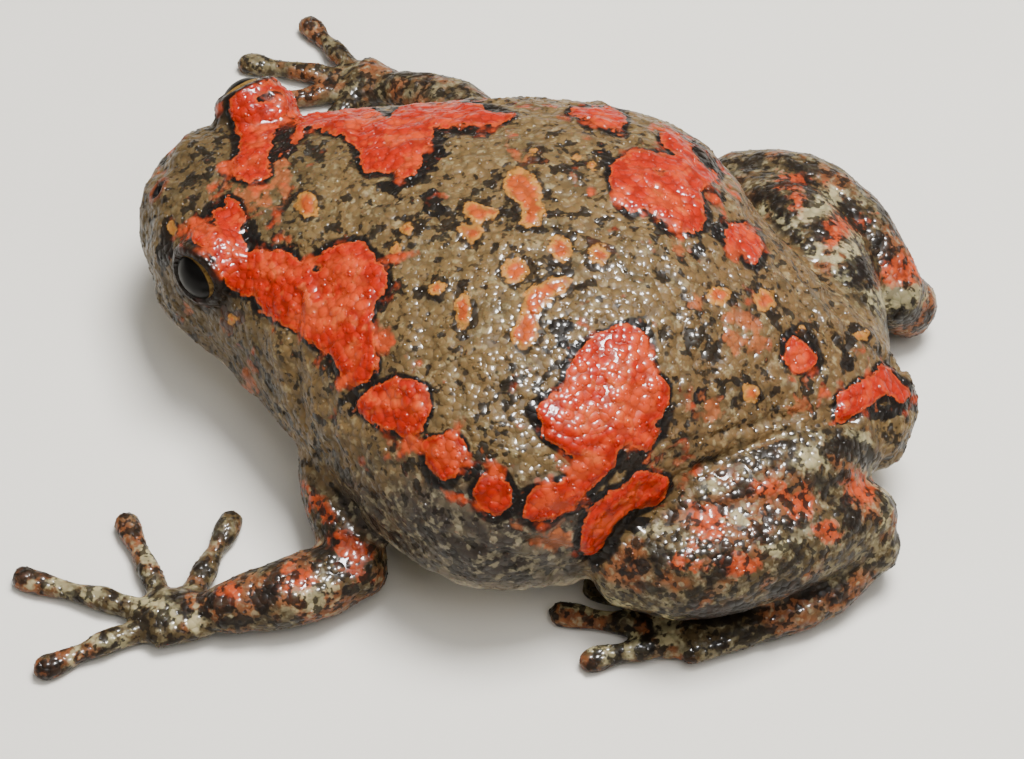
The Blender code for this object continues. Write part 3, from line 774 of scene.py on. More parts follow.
def round_eye(points, side):
    """For each point: distance along the opening's axis, distance from that axis, and how far it
    stands outside the oval of the lids' opening. The oval lies level, wider than it is high."""
    centre, _, _ = eye_place(side)
    look = opening_axis(side)
    level = np.cross((0, 0, 1), look)
    level /= np.linalg.norm(level)
    away = points - centre
    along, a, b = away @ look, away @ level, away @ np.cross(look, level)
    out = np.hypot(a, b)
    wide, high = LID_OPENING
    safe = np.maximum(out, TINY)
    rim = wide * high / np.maximum(np.hypot(high * a / safe, wide * b / safe), TINY)
    return along, out, out - rim, b


def body_rows_at(x):
    """The body's stations, other than place along X, read at these places along X."""
    table = smooth(BODY, np.linspace(0, len(BODY) - 1, 200))
    return [np.interp(x, table[:, 0], column) for column in table.T[1:]]


def outside_body(points):
    """How far points stand out of the body's own form: the superellipse's radius there less
    one, times the smaller half size."""
    x, y, z = points.T
    shift, half, back, belly, wide, square = body_rows_at(x)
    rise = np.where(z > wide, back - wide, wide - belly)
    size = (np.abs(y - shift) / half) ** square + (np.abs(z - wide) / rise) ** square
    return (size ** (1 / square) - 1) * np.minimum(half, rise)


def mound_distance(points):
    """How far points stand out of the nearer lid mound."""
    found = []
    for side in EYE_LOOK:
        centre, _, look = eye_place(side)
        found.append(np.linalg.norm(points - (centre - look * LID_INSET), axis=1) - LID_MOUND)
    return np.minimum(*found)


def on_body_map(points):
    """Pixels of points on the picture, going on round the body: beyond the far or the near
    outline of the body the place moves on by the distance from that outline."""
    seen = on_picture(points)
    grid, _ = body_surface()
    rows, sides = grid.shape[:2]
    heights = on_picture(grid.reshape(-1, 3))[:, 1].reshape(rows, sides)
    x, y, z = points.T
    shift = body_rows_at(x)[0]
    for pick, sign in ((heights.argmin(axis=1), -1), (heights.argmax(axis=1), 1)):
        edge = grid[np.arange(rows), pick]
        edge_y, edge_z = (np.interp(x, edge[:, 0], edge[:, k]) for k in (1, 2))
        edge_v = np.interp(x, edge[:, 0], heights[np.arange(rows), pick])
        beyond = (z < edge_z) & ((y - shift) * -sign > 0)
        moved = edge_v + sign * PIXELS_PER_MM * np.hypot(y - edge_y, z - edge_z)
        seen[:, 1] = np.where(beyond, moved, seen[:, 1])
    return seen


def closed_curve(outline, between=4):
    """Smooth closed loop through an outline's points."""
    ring = np.array([*outline, outline[0]], float)
    padded = np.vstack([ring[-2], ring, ring[1]])
    return smooth(padded, np.arange(between, between * len(ring)) / between)


def inside_distance(places, outline):
    """Distance of places to a closed outline, above zero inside it: the least distance to its
    sides, signed by how often a level line from the place crosses them."""
    loop = closed_curve(outline)
    low, high = loop.min(axis=0) - FAR, loop.max(axis=0) + FAR
    near = np.all((places > low) & (places < high), axis=1)
    some = places[near]
    least, inside = np.full(len(some), FAR), np.zeros(len(some), bool)
    for a, b in zip(loop, np.roll(loop, -1, axis=0)):
        side = b - a
        if not side.any():
            continue
        away = some - a
        t = np.clip((away @ side) / (side @ side), 0, 1)
        least = np.minimum(least, np.hypot(*(away - t[:, None] * side).T))
        crosses = (a[1] > some[:, 1]) != (b[1] > some[:, 1])
        rise = side[1] if side[1] else 1.0
        inside ^= crosses & (some[:, 0] < a[0] + away[:, 1] * side[0] / rise)
    found = np.full(len(places), -FAR)
    found[near] = np.where(inside, least, -least)
    return found


def spot_distance(places, spots):
    """Distance into the deepest of several oval spots, above zero inside: one less the scaled
    distance from its middle, times its mean half size."""
    found = np.full(len(places), -FAR)
    for u, v, wide, high in spots:
        away = np.hypot((places[:, 0] - u) / wide, (places[:, 1] - v) / high)
        found = np.maximum(found, (1 - away) * np.sqrt(wide * high))
    return found


def line_distance(places, line):
    """Distance of places to an open smooth line."""
    path = smooth(line, np.linspace(0, len(line) - 1, 6 * len(line)))
    least = np.full(len(places), FAR)
    for a, b in zip(path[:-1], path[1:]):
        side = b - a
        t = np.clip(((places - a) @ side) / (side @ side), 0, 1)
        least = np.minimum(least, np.hypot(*(places - a - t[:, None] * side).T))
    return least


def melted_forms(voxel):
    """The body, lid mounds, limbs and digits melted into one closed surface."""
    surfaces = [body_surface()]
    for side in EYE_LOOK:
        centre, _, look = eye_place(side)
        surfaces.append(ball_surface(centre - look * LID_INSET, LID_MOUND, look))
    surfaces += [tube_surface(stations) for stations in LIMBS.values()]
    for roots, tips in DIGITS.values():
        surfaces += [
            tube_surface(digit_stations(root, tip), knuckles=DIGIT_KNUCKLES)
            for root, tip in zip(roots, tips)
        ]
    forms = add_object("forms", closed_mesh("forms", surfaces))
    melt = forms.modifiers.new("melt", "REMESH")
    melt.mode = "VOXEL"
    melt.voxel_size = voxel * MM
    mesh = evaluated_mesh(forms)
    bpy.data.objects.remove(forms)
    mesh.materials.clear()
    return add_object("skin", mesh)


def fillet(points, normals, edges, steps):
    """Fills the creases where forms meet: points that lie deeper than their neighbours' mean
    move towards it, by a weight that spreads a little round each crease."""
    inward = ((neighbour_mean(points, edges) - points) * normals).sum(axis=1)
    weight = step_up(inward, *CREASE_DEPTH)[:, None]
    spreads, gain = CREASE_SPREAD
    weight = np.clip(relax(weight, edges, spreads) * gain, 0, 1)
    for _ in range(steps):
        points = points + SMOOTH_PULL * weight * (neighbour_mean(points, edges) - points)
    return points


def near_face(points):
    """True close to the lids, the mouth line and the nostrils, where the skin needs finer faces."""
    gap, _ = mouth_gap(points)
    mouth = (np.abs(gap) < MOUTH_MARGIN) & (points[:, 0] < MOUTH_END + MOUTH_PAST)
    away = np.min([np.linalg.norm(points - spot, axis=1) for spot in NOSTRILS], axis=0)
    return mouth | (away < NOSTRIL_MARGIN) | near_lids(points, LID_MARGINS[0])


def near_lids(points, margin):
    """True within this margin of a lid's opening."""
    found = np.zeros(len(points), bool)
    for side in EYE_LOOK:
        along, _, beyond, _ = round_eye(points, side)
        found |= (along > 0) & (np.abs(beyond) < margin)
    return found


def open_lids(points, side):
    """Opens the lids over an eye. Points inside the oval sink below the eyeball, those at its
    edge move onto it, and those beyond it rise into a rim, higher over the eye than under it."""
    centre, radius, _ = eye_place(side)
    look = opening_axis(side)
    along, out, beyond, height = round_eye(points, side)
    front = (along > 0) & (out < LID_REACH)
    away = points - centre
    axis_part = along[:, None] * look
    across = (away - axis_part) / np.maximum(out, TINY)[:, None]
    snapped = np.where(front & (np.abs(beyond) < LID_SNAP), out - beyond, out)
    away = axis_part + across * snapped[:, None]
    length = np.linalg.norm(away, axis=1)
    low, gain, level, wide = LID_RIM
    brow = low + gain * step_up(height, level, LID_OPENING[1])
    furrow, place, width = LID_FURROW
    rim = brow * bell(beyond - wide, wide) - furrow * bell(beyond - place, width)
    depth = np.where(beyond < -LID_SNAP / 3, radius - LID_SUNK, length + rim)
    moved = centre + away * (depth / np.maximum(length, TINY))[:, None]
    return np.where(front[:, None], moved, points)


def mouth_gap(points):
    """Height of points over the mouth line, and 1 along the mouth fading to 0 at its corner."""
    x, _, z = points.T
    line = smooth(MOUTH_LINE, np.linspace(0, len(MOUTH_LINE) - 1, 60))
    return z - np.interp(x, line[:, 0], line[:, 1]), step_up(MOUTH_END - x, 0.0, MOUTH_FADE)


def nostril_distance(points):
    """Distance to the nearer nostril, measured from the skin's point next to its place."""
    away = np.stack([np.linalg.norm(points - spot, axis=1) for spot in NOSTRILS])
    spots = points[away.argmin(axis=1)]
    return np.min([np.linalg.norm(points - spot, axis=1) for spot in spots], axis=0)


def feature(away, *shapes):
    """Height at this distance from a line or spot: the sum of bells, each at its own distance."""
    return sum(height * bell(away - place, width) for height, place, width in shapes)


def face_relief(points):
    """Heights of the features of the face: the mouth's groove between two soft lips, and the
    nostrils, each a pit inside a low ring."""
    gap, along = mouth_gap(points)
    relief = along * feature(np.abs(gap), LIPS, MOUTH_GROOVE)
    return relief + feature(nostril_distance(points), NOSTRIL_RING, NOSTRIL_PIT)


def skin_marks(points, normals):
    """Attributes of the skin, by name. A mark's own is the depth into it in millimetres, below
    zero outside it. Lid, mouth and nose are the distances to the lids' edges, the mouth line and
    the nostrils. The others are shares between 0 and 1."""
    seen, unrolled = on_picture(points), on_body_map(points)
    height = points[:, 2]
    mound = mound_distance(points)
    limb = step_up(np.minimum(outside_body(points), mound), *LIMB_FADE)
    body = 1 - limb
    places = np.where((mound < LID_SKIN)[:, None], seen, unrolled)
    red = np.full(len(points), -BEYOND)
    for lowest, outline in RED_PATCHES.values():
        depth = inside_distance(places, outline) / PIXELS_PER_MM
        red = np.maximum(red, np.minimum(depth, height - lowest))
    notches = spot_distance(places, NOTCHES) / PIXELS_PER_MM
    red = np.minimum(red, -notches)
    tan = spot_distance(places, TAN_SPOTS) / PIXELS_PER_MM
    for outline in TAN_PATCHES.values():
        tan = np.maximum(tan, inside_distance(places, outline) / PIXELS_PER_MM)
    black = np.maximum(spot_distance(places, BLACK_SPOTS) / PIXELS_PER_MM, notches)
    salmon = spot_distance(places, SALMON_SPOTS) / PIXELS_PER_MM
    facing = step_up(normals @ camera_axes()[3], *FACING_FADE)
    on_limb = {
        name: spot_distance(seen, spots) / PIXELS_PER_MM - LIMB_MARK_LOSS * (1 - facing * limb)
        for name, spots in (("orange", LIMB_ORANGE), ("cream", LIMB_CREAM), ("soot", LIMB_BLACK))
    }
    under = step_up(-normals[:, 2], *BELLY_FADE)
    flank = step_up(unrolled[:, 1], *FLANK_ROWS)
    flank = flank * step_up(FLANK_COLUMN - unrolled[:, 0], 0, FLANK_LENGTH)
    gap, along = mouth_gap(points)
    lid = np.full(len(points), BEYOND)
    for side in EYE_LOOK:
        ahead, _, beyond, _ = round_eye(points, side)
        lid = np.where(ahead > 0, np.minimum(lid, np.abs(beyond)), lid)
    head = step_up(HEAD_FADE[0] - points[:, 0], 0, HEAD_FADE[1])
    rear = step_up(points[:, 0], *REAR_ALONG) * step_up(height, *REAR_HEIGHT)
    on_body = {
        name: np.where(limb > 0.5, -BEYOND, depth)
        for name, depth in (("red", red), ("tan", tan), ("black", black), ("salmon", salmon))
    }
    shares = {
        name: share * body
        for name, share in (("under", under), ("flank", flank), ("head", head), ("rear", rear))
    }
    mouth = np.where(along > MOUTH_DARK, np.abs(gap), BEYOND)
    return {
        **on_body, **on_limb, **shares,
        "limb": limb, "lid": lid, "nose": nostril_distance(points), "mouth": mouth,
    }


def write_marks(mesh, marks):
    """Stores each mark as an attribute of the mesh's points."""
    for name, values in marks.items():
        layer = mesh.attributes.new(name, "FLOAT", "POINT")
        layer.data.foreach_set("value", values.astype(np.float32))


def fold_relief(places, body):
    """Depth of the folds of skin: a bell-shaped groove along each line, with a low swelling on
    both sides of it, on the body alone."""
    relief = np.zeros(len(places))
    share, place, wide = FOLD_SWELL
    for depth, width, line in FOLDS:
        away = line_distance(places, line) / PIXELS_PER_MM
        swell = share * bell(away - place * width, wide * width)
        relief += depth * (swell - bell(away, width))
    return relief * body


def skin_relief(points, marks, patch_height, lump_height):
    """Height of the skin's surface over the melted forms: raised patches with a sunk border,
    slow lumps, folds, and the features of the face."""
    body = 1 - marks["limb"]
    calm = step_up(marks["lid"], *LID_CALM)
    share, place, width = PATCH_BORDER
    sunk = share * bell(marks["red"] - place, width)
    relief = patch_height * (step_up(marks["red"], *PATCH_EDGE) - sunk)
    relief += TAN_RISE * patch_height * step_up(marks["tan"], *TAN_EDGE)
    lumps = sum(
        share * waves(points, length, SEED + k) for k, (length, share) in enumerate(LUMPS)
    )
    lumps *= (LIMB_LUMPS + (1 - LIMB_LUMPS) * body) * step_up(points[:, 2], *FLOOR_CALM)
    relief += lump_height * lumps
    relief += fold_relief(on_body_map(points), body)
    return relief * calm + face_relief(points)


def spread(points, spacing, keep, seed):
    """Indices of points about this far apart: a seeded order, and the first point in each cube
    of a lattice, where keep is true. The lattice is turned askew, so that it makes no rows."""
    draw = np.random.default_rng(seed)
    order = draw.permutation(len(points))
    order = order[keep[order]]
    skew = np.linalg.qr(draw.normal(size=(3, 3)))[0]
    cubes = np.floor(points[order] @ skew / spacing).astype(int)
    _, first = np.unique(cubes, axis=0, return_index=True)
    return order[np.sort(first)]


def tubercle_arrays(roots, normals, radii, height, sides=TUBERCLE_SIDES):
    """Low domes on the skin: a sunk ring, a ring near the top and a pole, as whole arrays over
    all roots. Returns the points, the triangles and how many points each dome has."""
    count = len(roots)
    steep = np.abs(normals[:, 2:]) < 0.9
    side = np.cross(normals, np.where(steep, (0.0, 0.0, 1.0), (1.0, 0.0, 0.0)))
    side /= np.linalg.norm(side, axis=1)[:, None]
    up = np.cross(normals, side)
    turn = np.linspace(0, 2 * np.pi, sides, endpoint=False)[None, :, None]
    around = np.cos(turn) * side[:, None] + np.sin(turn) * up[:, None]
    rise = (normals * radii[:, None])[:, None]
    out = around * radii[:, None, None]
    wide, high = TUBERCLE_SHOULDER
    rows = [
        roots[:, None] + out + rise * TUBERCLE_FOOT,
        roots[:, None] + out * wide + rise * high * height,
    ]
    points = np.concatenate([*rows, roots[:, None] + rise * height], axis=1)
    here = np.arange(sides)
    after = (here + 1) % sides
    one = np.concatenate([
        np.stack([here, after, after + sides], 1),
        np.stack([here, after + sides, here + sides], 1),
        np.stack([here + sides, after + sides, np.full(sides, 2 * sides)], 1),
    ])
    per = 2 * sides + 1
    triangles = one[None] + (np.arange(count) * per)[:, None, None]
    return points.reshape(-1, 3), triangles.reshape(-1, 3), per


def add_node(tree, kind, inputs=None, output=0, **settings):
    """Adds a node, sets its properties, and gives its inputs values or links. Returns one of
    its outputs."""
    node = tree.nodes.new(kind)
    for name, value in settings.items():
        setattr(node, name, value)
    for name, value in (inputs or {}).items():
        if isinstance(value, bpy.types.NodeSocket):
            tree.links.new(value, node.inputs[name])
        else:
            node.inputs[name].default_value = value
    return node.outputs[output]


def new_material(name):
    """A material without nodes, its node tree, and the object's own coordinates in it."""
    material = bpy.data.materials.new(name)
    material.use_nodes = True
    tree = material.node_tree
    tree.nodes.clear()
    return material, tree, add_node(tree, "ShaderNodeTexCoord", output="Object")


def give_surface(tree, shader):
    """Ends a material: what its surface shows is what this shader gives."""
    out = tree.nodes.new("ShaderNodeOutputMaterial")
    tree.links.new(shader, out.inputs["Surface"])


def pigment(tree, below, measure, code, start, full, most=1.0):
    """A layer of colour over another: none where the measure is at start, and most at full."""
    share = add_node(tree, "ShaderNodeMapRange", {
        "Value": measure, "From Min": start, "From Max": full, "To Max": most,
    }, interpolation_type="SMOOTHSTEP")
    return add_node(
        tree, "ShaderNodeMix", {0: share, 6: below, 7: linear(code)}, 2, data_type="RGBA"
    )


def layered(tree, below, *layers):
    """Several layers of colour in turn, each with its measure, its colour, the measures where it
    starts and is full, and how much it covers at most."""
    for layer in layers:
        below = pigment(tree, below, *layer)
    return below


def ragged(tree, name, noise, amount):
    """A mark's distance with its edge made ragged by a noise of this amount in millimetres."""
    mark = add_node(tree, "ShaderNodeAttribute", output="Fac", attribute_name=name)
    centred = add_node(tree, "ShaderNodeMath", {0: noise, 1: 0.5}, operation="SUBTRACT")
    return add_node(
        tree, "ShaderNodeMath", {0: centred, 1: amount, 2: mark}, operation="MULTIPLY_ADD"
    )


def back_colours(tree, colours, noises, dots, marks):
    """Olive back with small black mottles, warmer behind and darker on the head and flanks."""
    stain, blot, mottle, fine = (noises[name] for name in ("stain", "blot", "mottle", "fine"))
    olive, brown = linear(colours.olive), linear("#675032")
    back = add_node(
        tree, "ShaderNodeMix", {0: noises["cloud"], 6: olive, 7: brown}, 2, data_type="RGBA"
    )
    patchy = mottle
    for measure, amount in ((stain, 0.55), (marks["head"], 0.05)):
        patchy = add_node(
            tree, "ShaderNodeMath", {0: measure, 1: amount, 2: patchy}, operation="MULTIPLY_ADD"
        )
    back = layered(
        tree, back,
        (marks["rear"], "#5e472b", 0.0, 1.0, 0.75),
        (blot, "#463c28", 0.50, 0.66, 0.7),
        (fine, "#9a8a64", 0.54, 0.70, 0.45),
        (marks["head"], "#443823", 0.1, 1.4, 0.75),
        (patchy, "#1b1712", 0.84, 0.89, 0.9),
        (fine, "#1f1a14", 0.40, 0.34, 0.75),
        (dots, "#1b1712", 0.33, 0.18, 0.85),
    )

    # Lower flank: grey brown, with whitish mottling
    side = layered(
        tree, linear("#37302a"),
        (blot, "#5b5140", 0.44, 0.58, 0.8),
        (fine, "#8f8468", 0.52, 0.64, 0.6),
        (mottle, "#17130f", 0.54, 0.58, 0.85),
    )
    flank = ragged(tree, "flank", blot, 1.2)
    share = add_node(
        tree, "ShaderNodeMapRange", {"Value": flank, "From Min": 0.3, "From Max": 0.8}
    )
    return add_node(tree, "ShaderNodeMix", {0: share, 6: back, 7: side}, 2, data_type="RGBA")


def limb_colours(tree, colours, noises, dots):
    """Limbs finely marbled in black, brown and cream, with their larger marks."""
    stain, blot, mottle, fine = (noises[name] for name in ("stain", "blot", "mottle", "fine"))
    return layered(
        tree, linear("#453823"),
        (mottle, "#6c6146", 0.47, 0.60, 0.85),
        (stain, "#7c4425", 0.47, 0.60, 0.7),
        (ragged(tree, "orange", mottle, 5.0), "#a03c18", -0.35, 0.30, 0.85),
        (ragged(tree, "cream", mottle, 5.0), colours.cream, -0.35, 0.30, 0.85),
        (fine, "#8c8263", 0.57, 0.68, 0.55),
        (fine, "#1c1712", 0.49, 0.43, 0.88),
        (dots, "#1c1712", 0.30, 0.18, 0.85),
        (blot, "#1c1712", 0.54, 0.60, 0.85),
        (ragged(tree, "soot", mottle, 5.0), "#191410", -0.2, 0.2, 0.92),
        (ragged(tree, "cream", fine, 4.0), colours.cream, 0.1, 0.6, 0.5),
        (ragged(tree, "orange", fine, 4.0), "#a83a14", 0.2, 0.7, 0.5),
    )


def patch_colours(tree, skin, colours, noises):
    """The marks of the back over its other colours: black blotches, dull salmon marks, tan spots,
    and red patches with a black border of uneven width."""
    stain, blot, mottle, fine = (noises[name] for name in ("stain", "blot", "mottle", "fine"))
    tan = ragged(tree, "tan", fine, 1.0)
    red = ragged(tree, "red", fine, 0.9)
    # Lighter blots and flecks, more of them deep inside a patch
    blots, flecks = (
        add_node(tree, "ShaderNodeMath", {0: red, 1: 0.05, 2: noise}, operation="MULTIPLY_ADD")
        for noise in (blot, mottle)
    )
    return layered(
        tree, skin,
        (ragged(tree, "black", mottle, 3.0), "#14110f", -0.12, 0.10, 0.95),
        (ragged(tree, "salmon", mottle, 4.0), "#99522d", -0.15, 0.45, 0.75),
        (ragged(tree, "tan", mottle, 3.0), "#1f1811", -0.42, -0.20, 0.85),
        (tan, colours.tan, -0.08, 0.12),
        (tan, "#9e3812", 0.12, 0.55, 0.85),
        (ragged(tree, "red", stain, 2.6), "#120e0c", -0.52, -0.25, 0.95),
        (red, "#120e0c", -0.36, -0.14, 0.95),
        (red, "#a03a14", -0.06, 0.04),
        (red, colours.red, 0.06, 0.22),
        (blots, "#b53d17", 0.50, 0.66, 0.85),
        (flecks, "#be592b", 0.62, 0.74, 0.5),
    )


def frog_skin_material(colours):
    """Live frog skin: a thin wet film over fine granules. The eye gets sharp small highlights
    from the film, soft colour from the pigment under it, and black-edged patches. Painted shade
    darkens the granules' furrows, the mouth's groove, the lids' edges and the nostrils."""
    material, tree, place = new_material("frog_skin")
    noises = {
        name: add_node(tree, "ShaderNodeTexNoise", {
            "Vector": place, "Scale": 1 / (size * MM), "Detail": detail, "Roughness": 0.5,
            "W": seed,
        }, noise_dimensions="4D")
        for name, (size, detail, seed) in NOISES.items()
    }
    granule, dots = (
        add_node(
            tree, "ShaderNodeTexVoronoi", {"Vector": place, "Scale": 1 / (size * MM)}, "Distance"
        )
        for size in (GRANULE_SIZE, DOT_SPACING)
    )
    # The dots differ in size, by their cells' own random colour
    pick = add_node(tree, "ShaderNodeSeparateColor", {"Color": dots.node.outputs["Color"]}, "Red")
    dots = add_node(tree, "ShaderNodeMath", {0: pick, 1: 0.4, 2: dots}, operation="MULTIPLY_ADD")
    marks = {
        name: add_node(tree, "ShaderNodeAttribute", output="Fac", attribute_name=name)
        for name in ("rear", "head", "limb", "under", "lid", "nose", "mouth")
    }

    # Back, limbs, and the pale underside, marbled with grey brown
    skin = back_colours(tree, colours, noises, dots, marks)
    legs = limb_colours(tree, colours, noises, dots)
    pale = pigment(tree, linear("#b8ac92"), noises["blot"], "#4b4033", 0.5, 0.62, 0.85)
    for share, over in ((marks["limb"], legs), (marks["under"], pale)):
        skin = add_node(tree, "ShaderNodeMix", {0: share, 6: skin, 7: over}, 2, data_type="RGBA")

    # A dark mask round each eye, and nostrils with painted shade, black inside their pits, and a
    # dull red rim
    skin = layered(
        tree, skin,
        (marks["lid"], "#1c140c", 2.0, 0.7, 0.88),
        (marks["nose"], "#6a2a16", 1.30, 0.95, 0.7),
        (marks["nose"], "#0b0908", 0.85, 0.66),
    )
    skin = patch_colours(tree, skin, colours, noises)

    # Painted shade: in the mouth's groove, at the lids' edges where the skin sinks under the
    # eyeball, and in the furrows between the granules
    skin = layered(
        tree, skin,
        (marks["mouth"], "#120e0b", 0.28, 0.08, 0.9),
        (marks["lid"], "#19110b", 0.48, 0.25, 0.95),
        (granule, "#1a150f", 0.42, 0.75, 0.35),
    )

    # Round domes: their depth grows as the square of the distance from the granule's middle
    depth = add_node(tree, "ShaderNodeMapRange", {"Value": granule, "From Max": 0.70})
    depth = add_node(tree, "ShaderNodeMath", {0: depth, 1: 2.0}, operation="POWER")
    coarse = add_node(tree, "ShaderNodeBump", {
        "Height": depth, "Strength": 0.85, "Distance": 0.11 * MM,
    }, invert=True)
    bumps = add_node(tree, "ShaderNodeBump", {
        "Height": noises["grit"], "Strength": 0.3, "Distance": 0.03 * MM, "Normal": coarse,
    })
    rough = add_node(tree, "ShaderNodeMapRange", {
        "Value": noises["fine"], "From Min": 0.3, "From Max": 0.7, "To Min": 0.34, "To Max": 0.55,
    })
    shader = add_node(tree, "ShaderNodeBsdfPrincipled", {
        "Base Color": skin, "Roughness": rough, "IOR": 1.4, "Specular IOR Level": 0.06,
        "Normal": bumps, "Subsurface Weight": 0.05, "Subsurface Scale": 0.6 * MM,
        "Coat Weight": 0.39, "Coat Roughness": 0.12, "Coat IOR": 1.28, "Coat Normal": bumps,
    })
    give_surface(tree, shader)
    return material


def eye_material(colours):
    """A living eye: a clear wet cornea over a bronze iris and a wide black pupil. The eye gets a
    mirror-sharp highlight from the cornea."""
    material, tree, place = new_material("eye_surface")
    flecks = add_node(tree, "ShaderNodeTexNoise", {
        "Vector": place, "Scale": 1 / (0.28 * MM), "Detail": 4.0, "Roughness": 0.65,
    })
    away = ragged(tree, "pupil", flecks, 0.12)
    # Iris with dark flecks, then the black pupil inside it and a dark ring round it
    iris = layered(
        tree, linear("#0a0705"),
        (away, colours.iris, 0.0, 0.10),
        (flecks, "#2a1a0c", 0.46, 0.66, 0.7),
        (away, "#050403", 0.02, -0.03),
        (away, "#100a06", 0.34, 0.50, 0.95),
    )
    shader = add_node(tree, "ShaderNodeBsdfPrincipled", {
        "Base Color": iris, "Roughness": 0.5, "IOR": 1.38, "Specular IOR Level": 0.05,
        "Coat Weight": 0.25, "Coat Roughness": 0.02, "Coat IOR": 1.3,
    })
    give_surface(tree, shader)
    return material


def floor_material(code):
    """Matt painted board: the eye gets a plain pale ground, very faintly clouded."""
    material, tree, place = new_material("stage_board")
    noise = add_node(tree, "ShaderNodeTexNoise", {"Vector": place, "Scale": 1 / (40 * MM)})
    colour = pigment(tree, linear(code), noise, "#c9c4ba", 0.3, 0.8, 0.3)
    shader = add_node(tree, "ShaderNodeBsdfPrincipled", {
        "Base Color": colour, "Roughness": 0.8, "Specular IOR Level": 0.0,
    })
    give_surface(tree, shader)
    return material


class FrogSkinSettings(bpy.types.PropertyGroup):
    """Sizes and colours of the skin."""

    voxel: FloatProperty(
        name="Face size", description="Size of the skin's faces, in millimetres",
        default=0.35, min=0.2, max=2.0,
    )
    patch_height: FloatProperty(
        name="Patch height", description="How far the red patches stand up, in millimetres",
        default=0.10, min=0.0, max=0.5,
    )
    lump_height: FloatProperty(
        name="Lump height", description="Height of the slow lumps of the skin, in millimetres",
        default=0.07, min=0.0, max=0.5,
    )
    spacing: FloatProperty(
        name="Tubercle spacing", description="Distance between tubercles, in millimetres",
        default=0.85, min=0.5, max=5.0,
    )
    red: StringProperty(name="Patch", description="Colour of the red patches", default="#9a1b05")
    olive: StringProperty(name="Back", description="Colour of the back", default="#5d4b2d")
    tan: StringProperty(name="Spots", description="Colour of the tan spots", default="#9d6a2d")
    cream: StringProperty(name="Bands", description="Colour of the pale bands", default="#978c67")


class FrogEyeSettings(bpy.types.PropertyGroup):
    """Sizes and colours of the eyes."""

    pupil: FloatProperty(
        name="Pupil radius", description="Radius of the pupil, in millimetres",
        default=1.9, min=0.2, max=2.2,
    )
    iris: StringProperty(name="Iris", description="Colour of the iris", default="#75592c")


class FrogStageSettings(bpy.types.PropertyGroup):
    """Floor, lights and camera."""

    floor_size: FloatProperty(
        name="Floor", description="Side of the floor", default=1.2, unit="LENGTH",
    )
    floor_colour: StringProperty(name="Floor", description="Colour of the floor", default="#d9d5cc")
    key_power: FloatProperty(
        name="Key light", description="Power of the key light in watts", default=2.1, unit="POWER",
    )
    fill_power: FloatProperty(
        name="Fill light", description="Power of the fill light in watts",
        default=1.1, unit="POWER",
    )
    glint_power: FloatProperty(
        name="Glint", description="Power of the small light that only wet surfaces mirror",
        default=12.0, unit="POWER",
    )


# The solids that the skin takes the place of
FLESH = [name for name in frame["nodes"] if not name.startswith("eye_")]


def finish_piece(obj, material):
    """Gives a finished piece its material and its body."""
    obj.data.materials.append(material)
    obj.data.shade_smooth()
    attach(obj, "root")


class FROG_OT_skin(bpy.types.Operator):
    """Builds the skin over all the flesh"""

    bl_idname = "frog.skin"
    bl_label = "Skin"

    def execute(self, context):
        sizes = context.scene.frog_skin
        skin = melted_forms(sizes.voxel)
        mesh = skin.data
        edges = edges_of(mesh)
        first, second = SMOOTH_STEPS
        put_points(mesh, relax(points_of(mesh), edges, first, hold=SMOOTH_HOLD))
        put_points(mesh, fillet(points_of(mesh), normals_of(mesh), edges, FILLET_STEPS))
        refine(skin, near_face(face_middles(mesh)))
        refine(skin, near_lids(face_middles(mesh), LID_MARGINS[1]))
        edges = edges_of(mesh)
        points = relax(points_of(mesh), edges, second, hold=SMOOTH_HOLD)
        put_points(mesh, points)
        marks = skin_marks(points, normals_of(mesh))
        relief = skin_relief(points, marks, sizes.patch_height, sizes.lump_height)
        points = points + normals_of(mesh) * relief[:, None]
        for side in EYE_LOOK:
            points = open_lids(points, side)
        points[:, 2] = np.maximum(points[:, 2], FLOOR_GAP)
        put_points(mesh, points)
        write_marks(mesh, marks)
        finish_piece(skin, frog_skin_material(sizes))
        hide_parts(*FLESH)
        return {"FINISHED"}


class FROG_OT_tubercles(bpy.types.Operator):
    """Sets small domes on the skin, in its own colours"""

    bl_idname = "frog.tubercles"
    bl_label = "Tubercles"

    def execute(self, context):
        skin = bpy.data.objects.get("skin")
        if skin is None:
            raise RuntimeError("the skin comes before its tubercles")
        mesh = skin.data
        points, normals = points_of(mesh), normals_of(mesh)
        marks = {}
        for layer in mesh.attributes:
            if layer.data_type == "FLOAT" and layer.domain == "POINT":
                marks[layer.name] = np.empty(len(points), np.float32)
                layer.data.foreach_get("value", marks[layer.name])
        keep = (marks["under"] < BELLY_SHARE) & (points[:, 2] > TUBERCLE_LOWEST)
        for name, gap in TUBERCLE_GAPS.items():
            keep &= marks[name] > gap
        roots = spread(points, context.scene.frog_skin.spacing, keep, SEED + 2)
        draw = np.random.default_rng(SEED + 3)
        least, more = TUBERCLE_RADII
        radii = least + more * draw.random(len(roots)) ** 2
        radii *= 1 - TUBERCLE_LIMB_LOSS * marks["limb"][roots]
        grown, triangles, per = tubercle_arrays(
            points[roots], normals[roots], radii, TUBERCLE_HEIGHT
        )
        bumps = add_object("tubercles", mesh_of("tubercles", grown, triangles.tolist()))
        carried = {name: np.repeat(values[roots], per) for name, values in marks.items()}
        write_marks(bumps.data, carried)
        finish_piece(bumps, skin.data.materials[0])
        return {"FINISHED"}


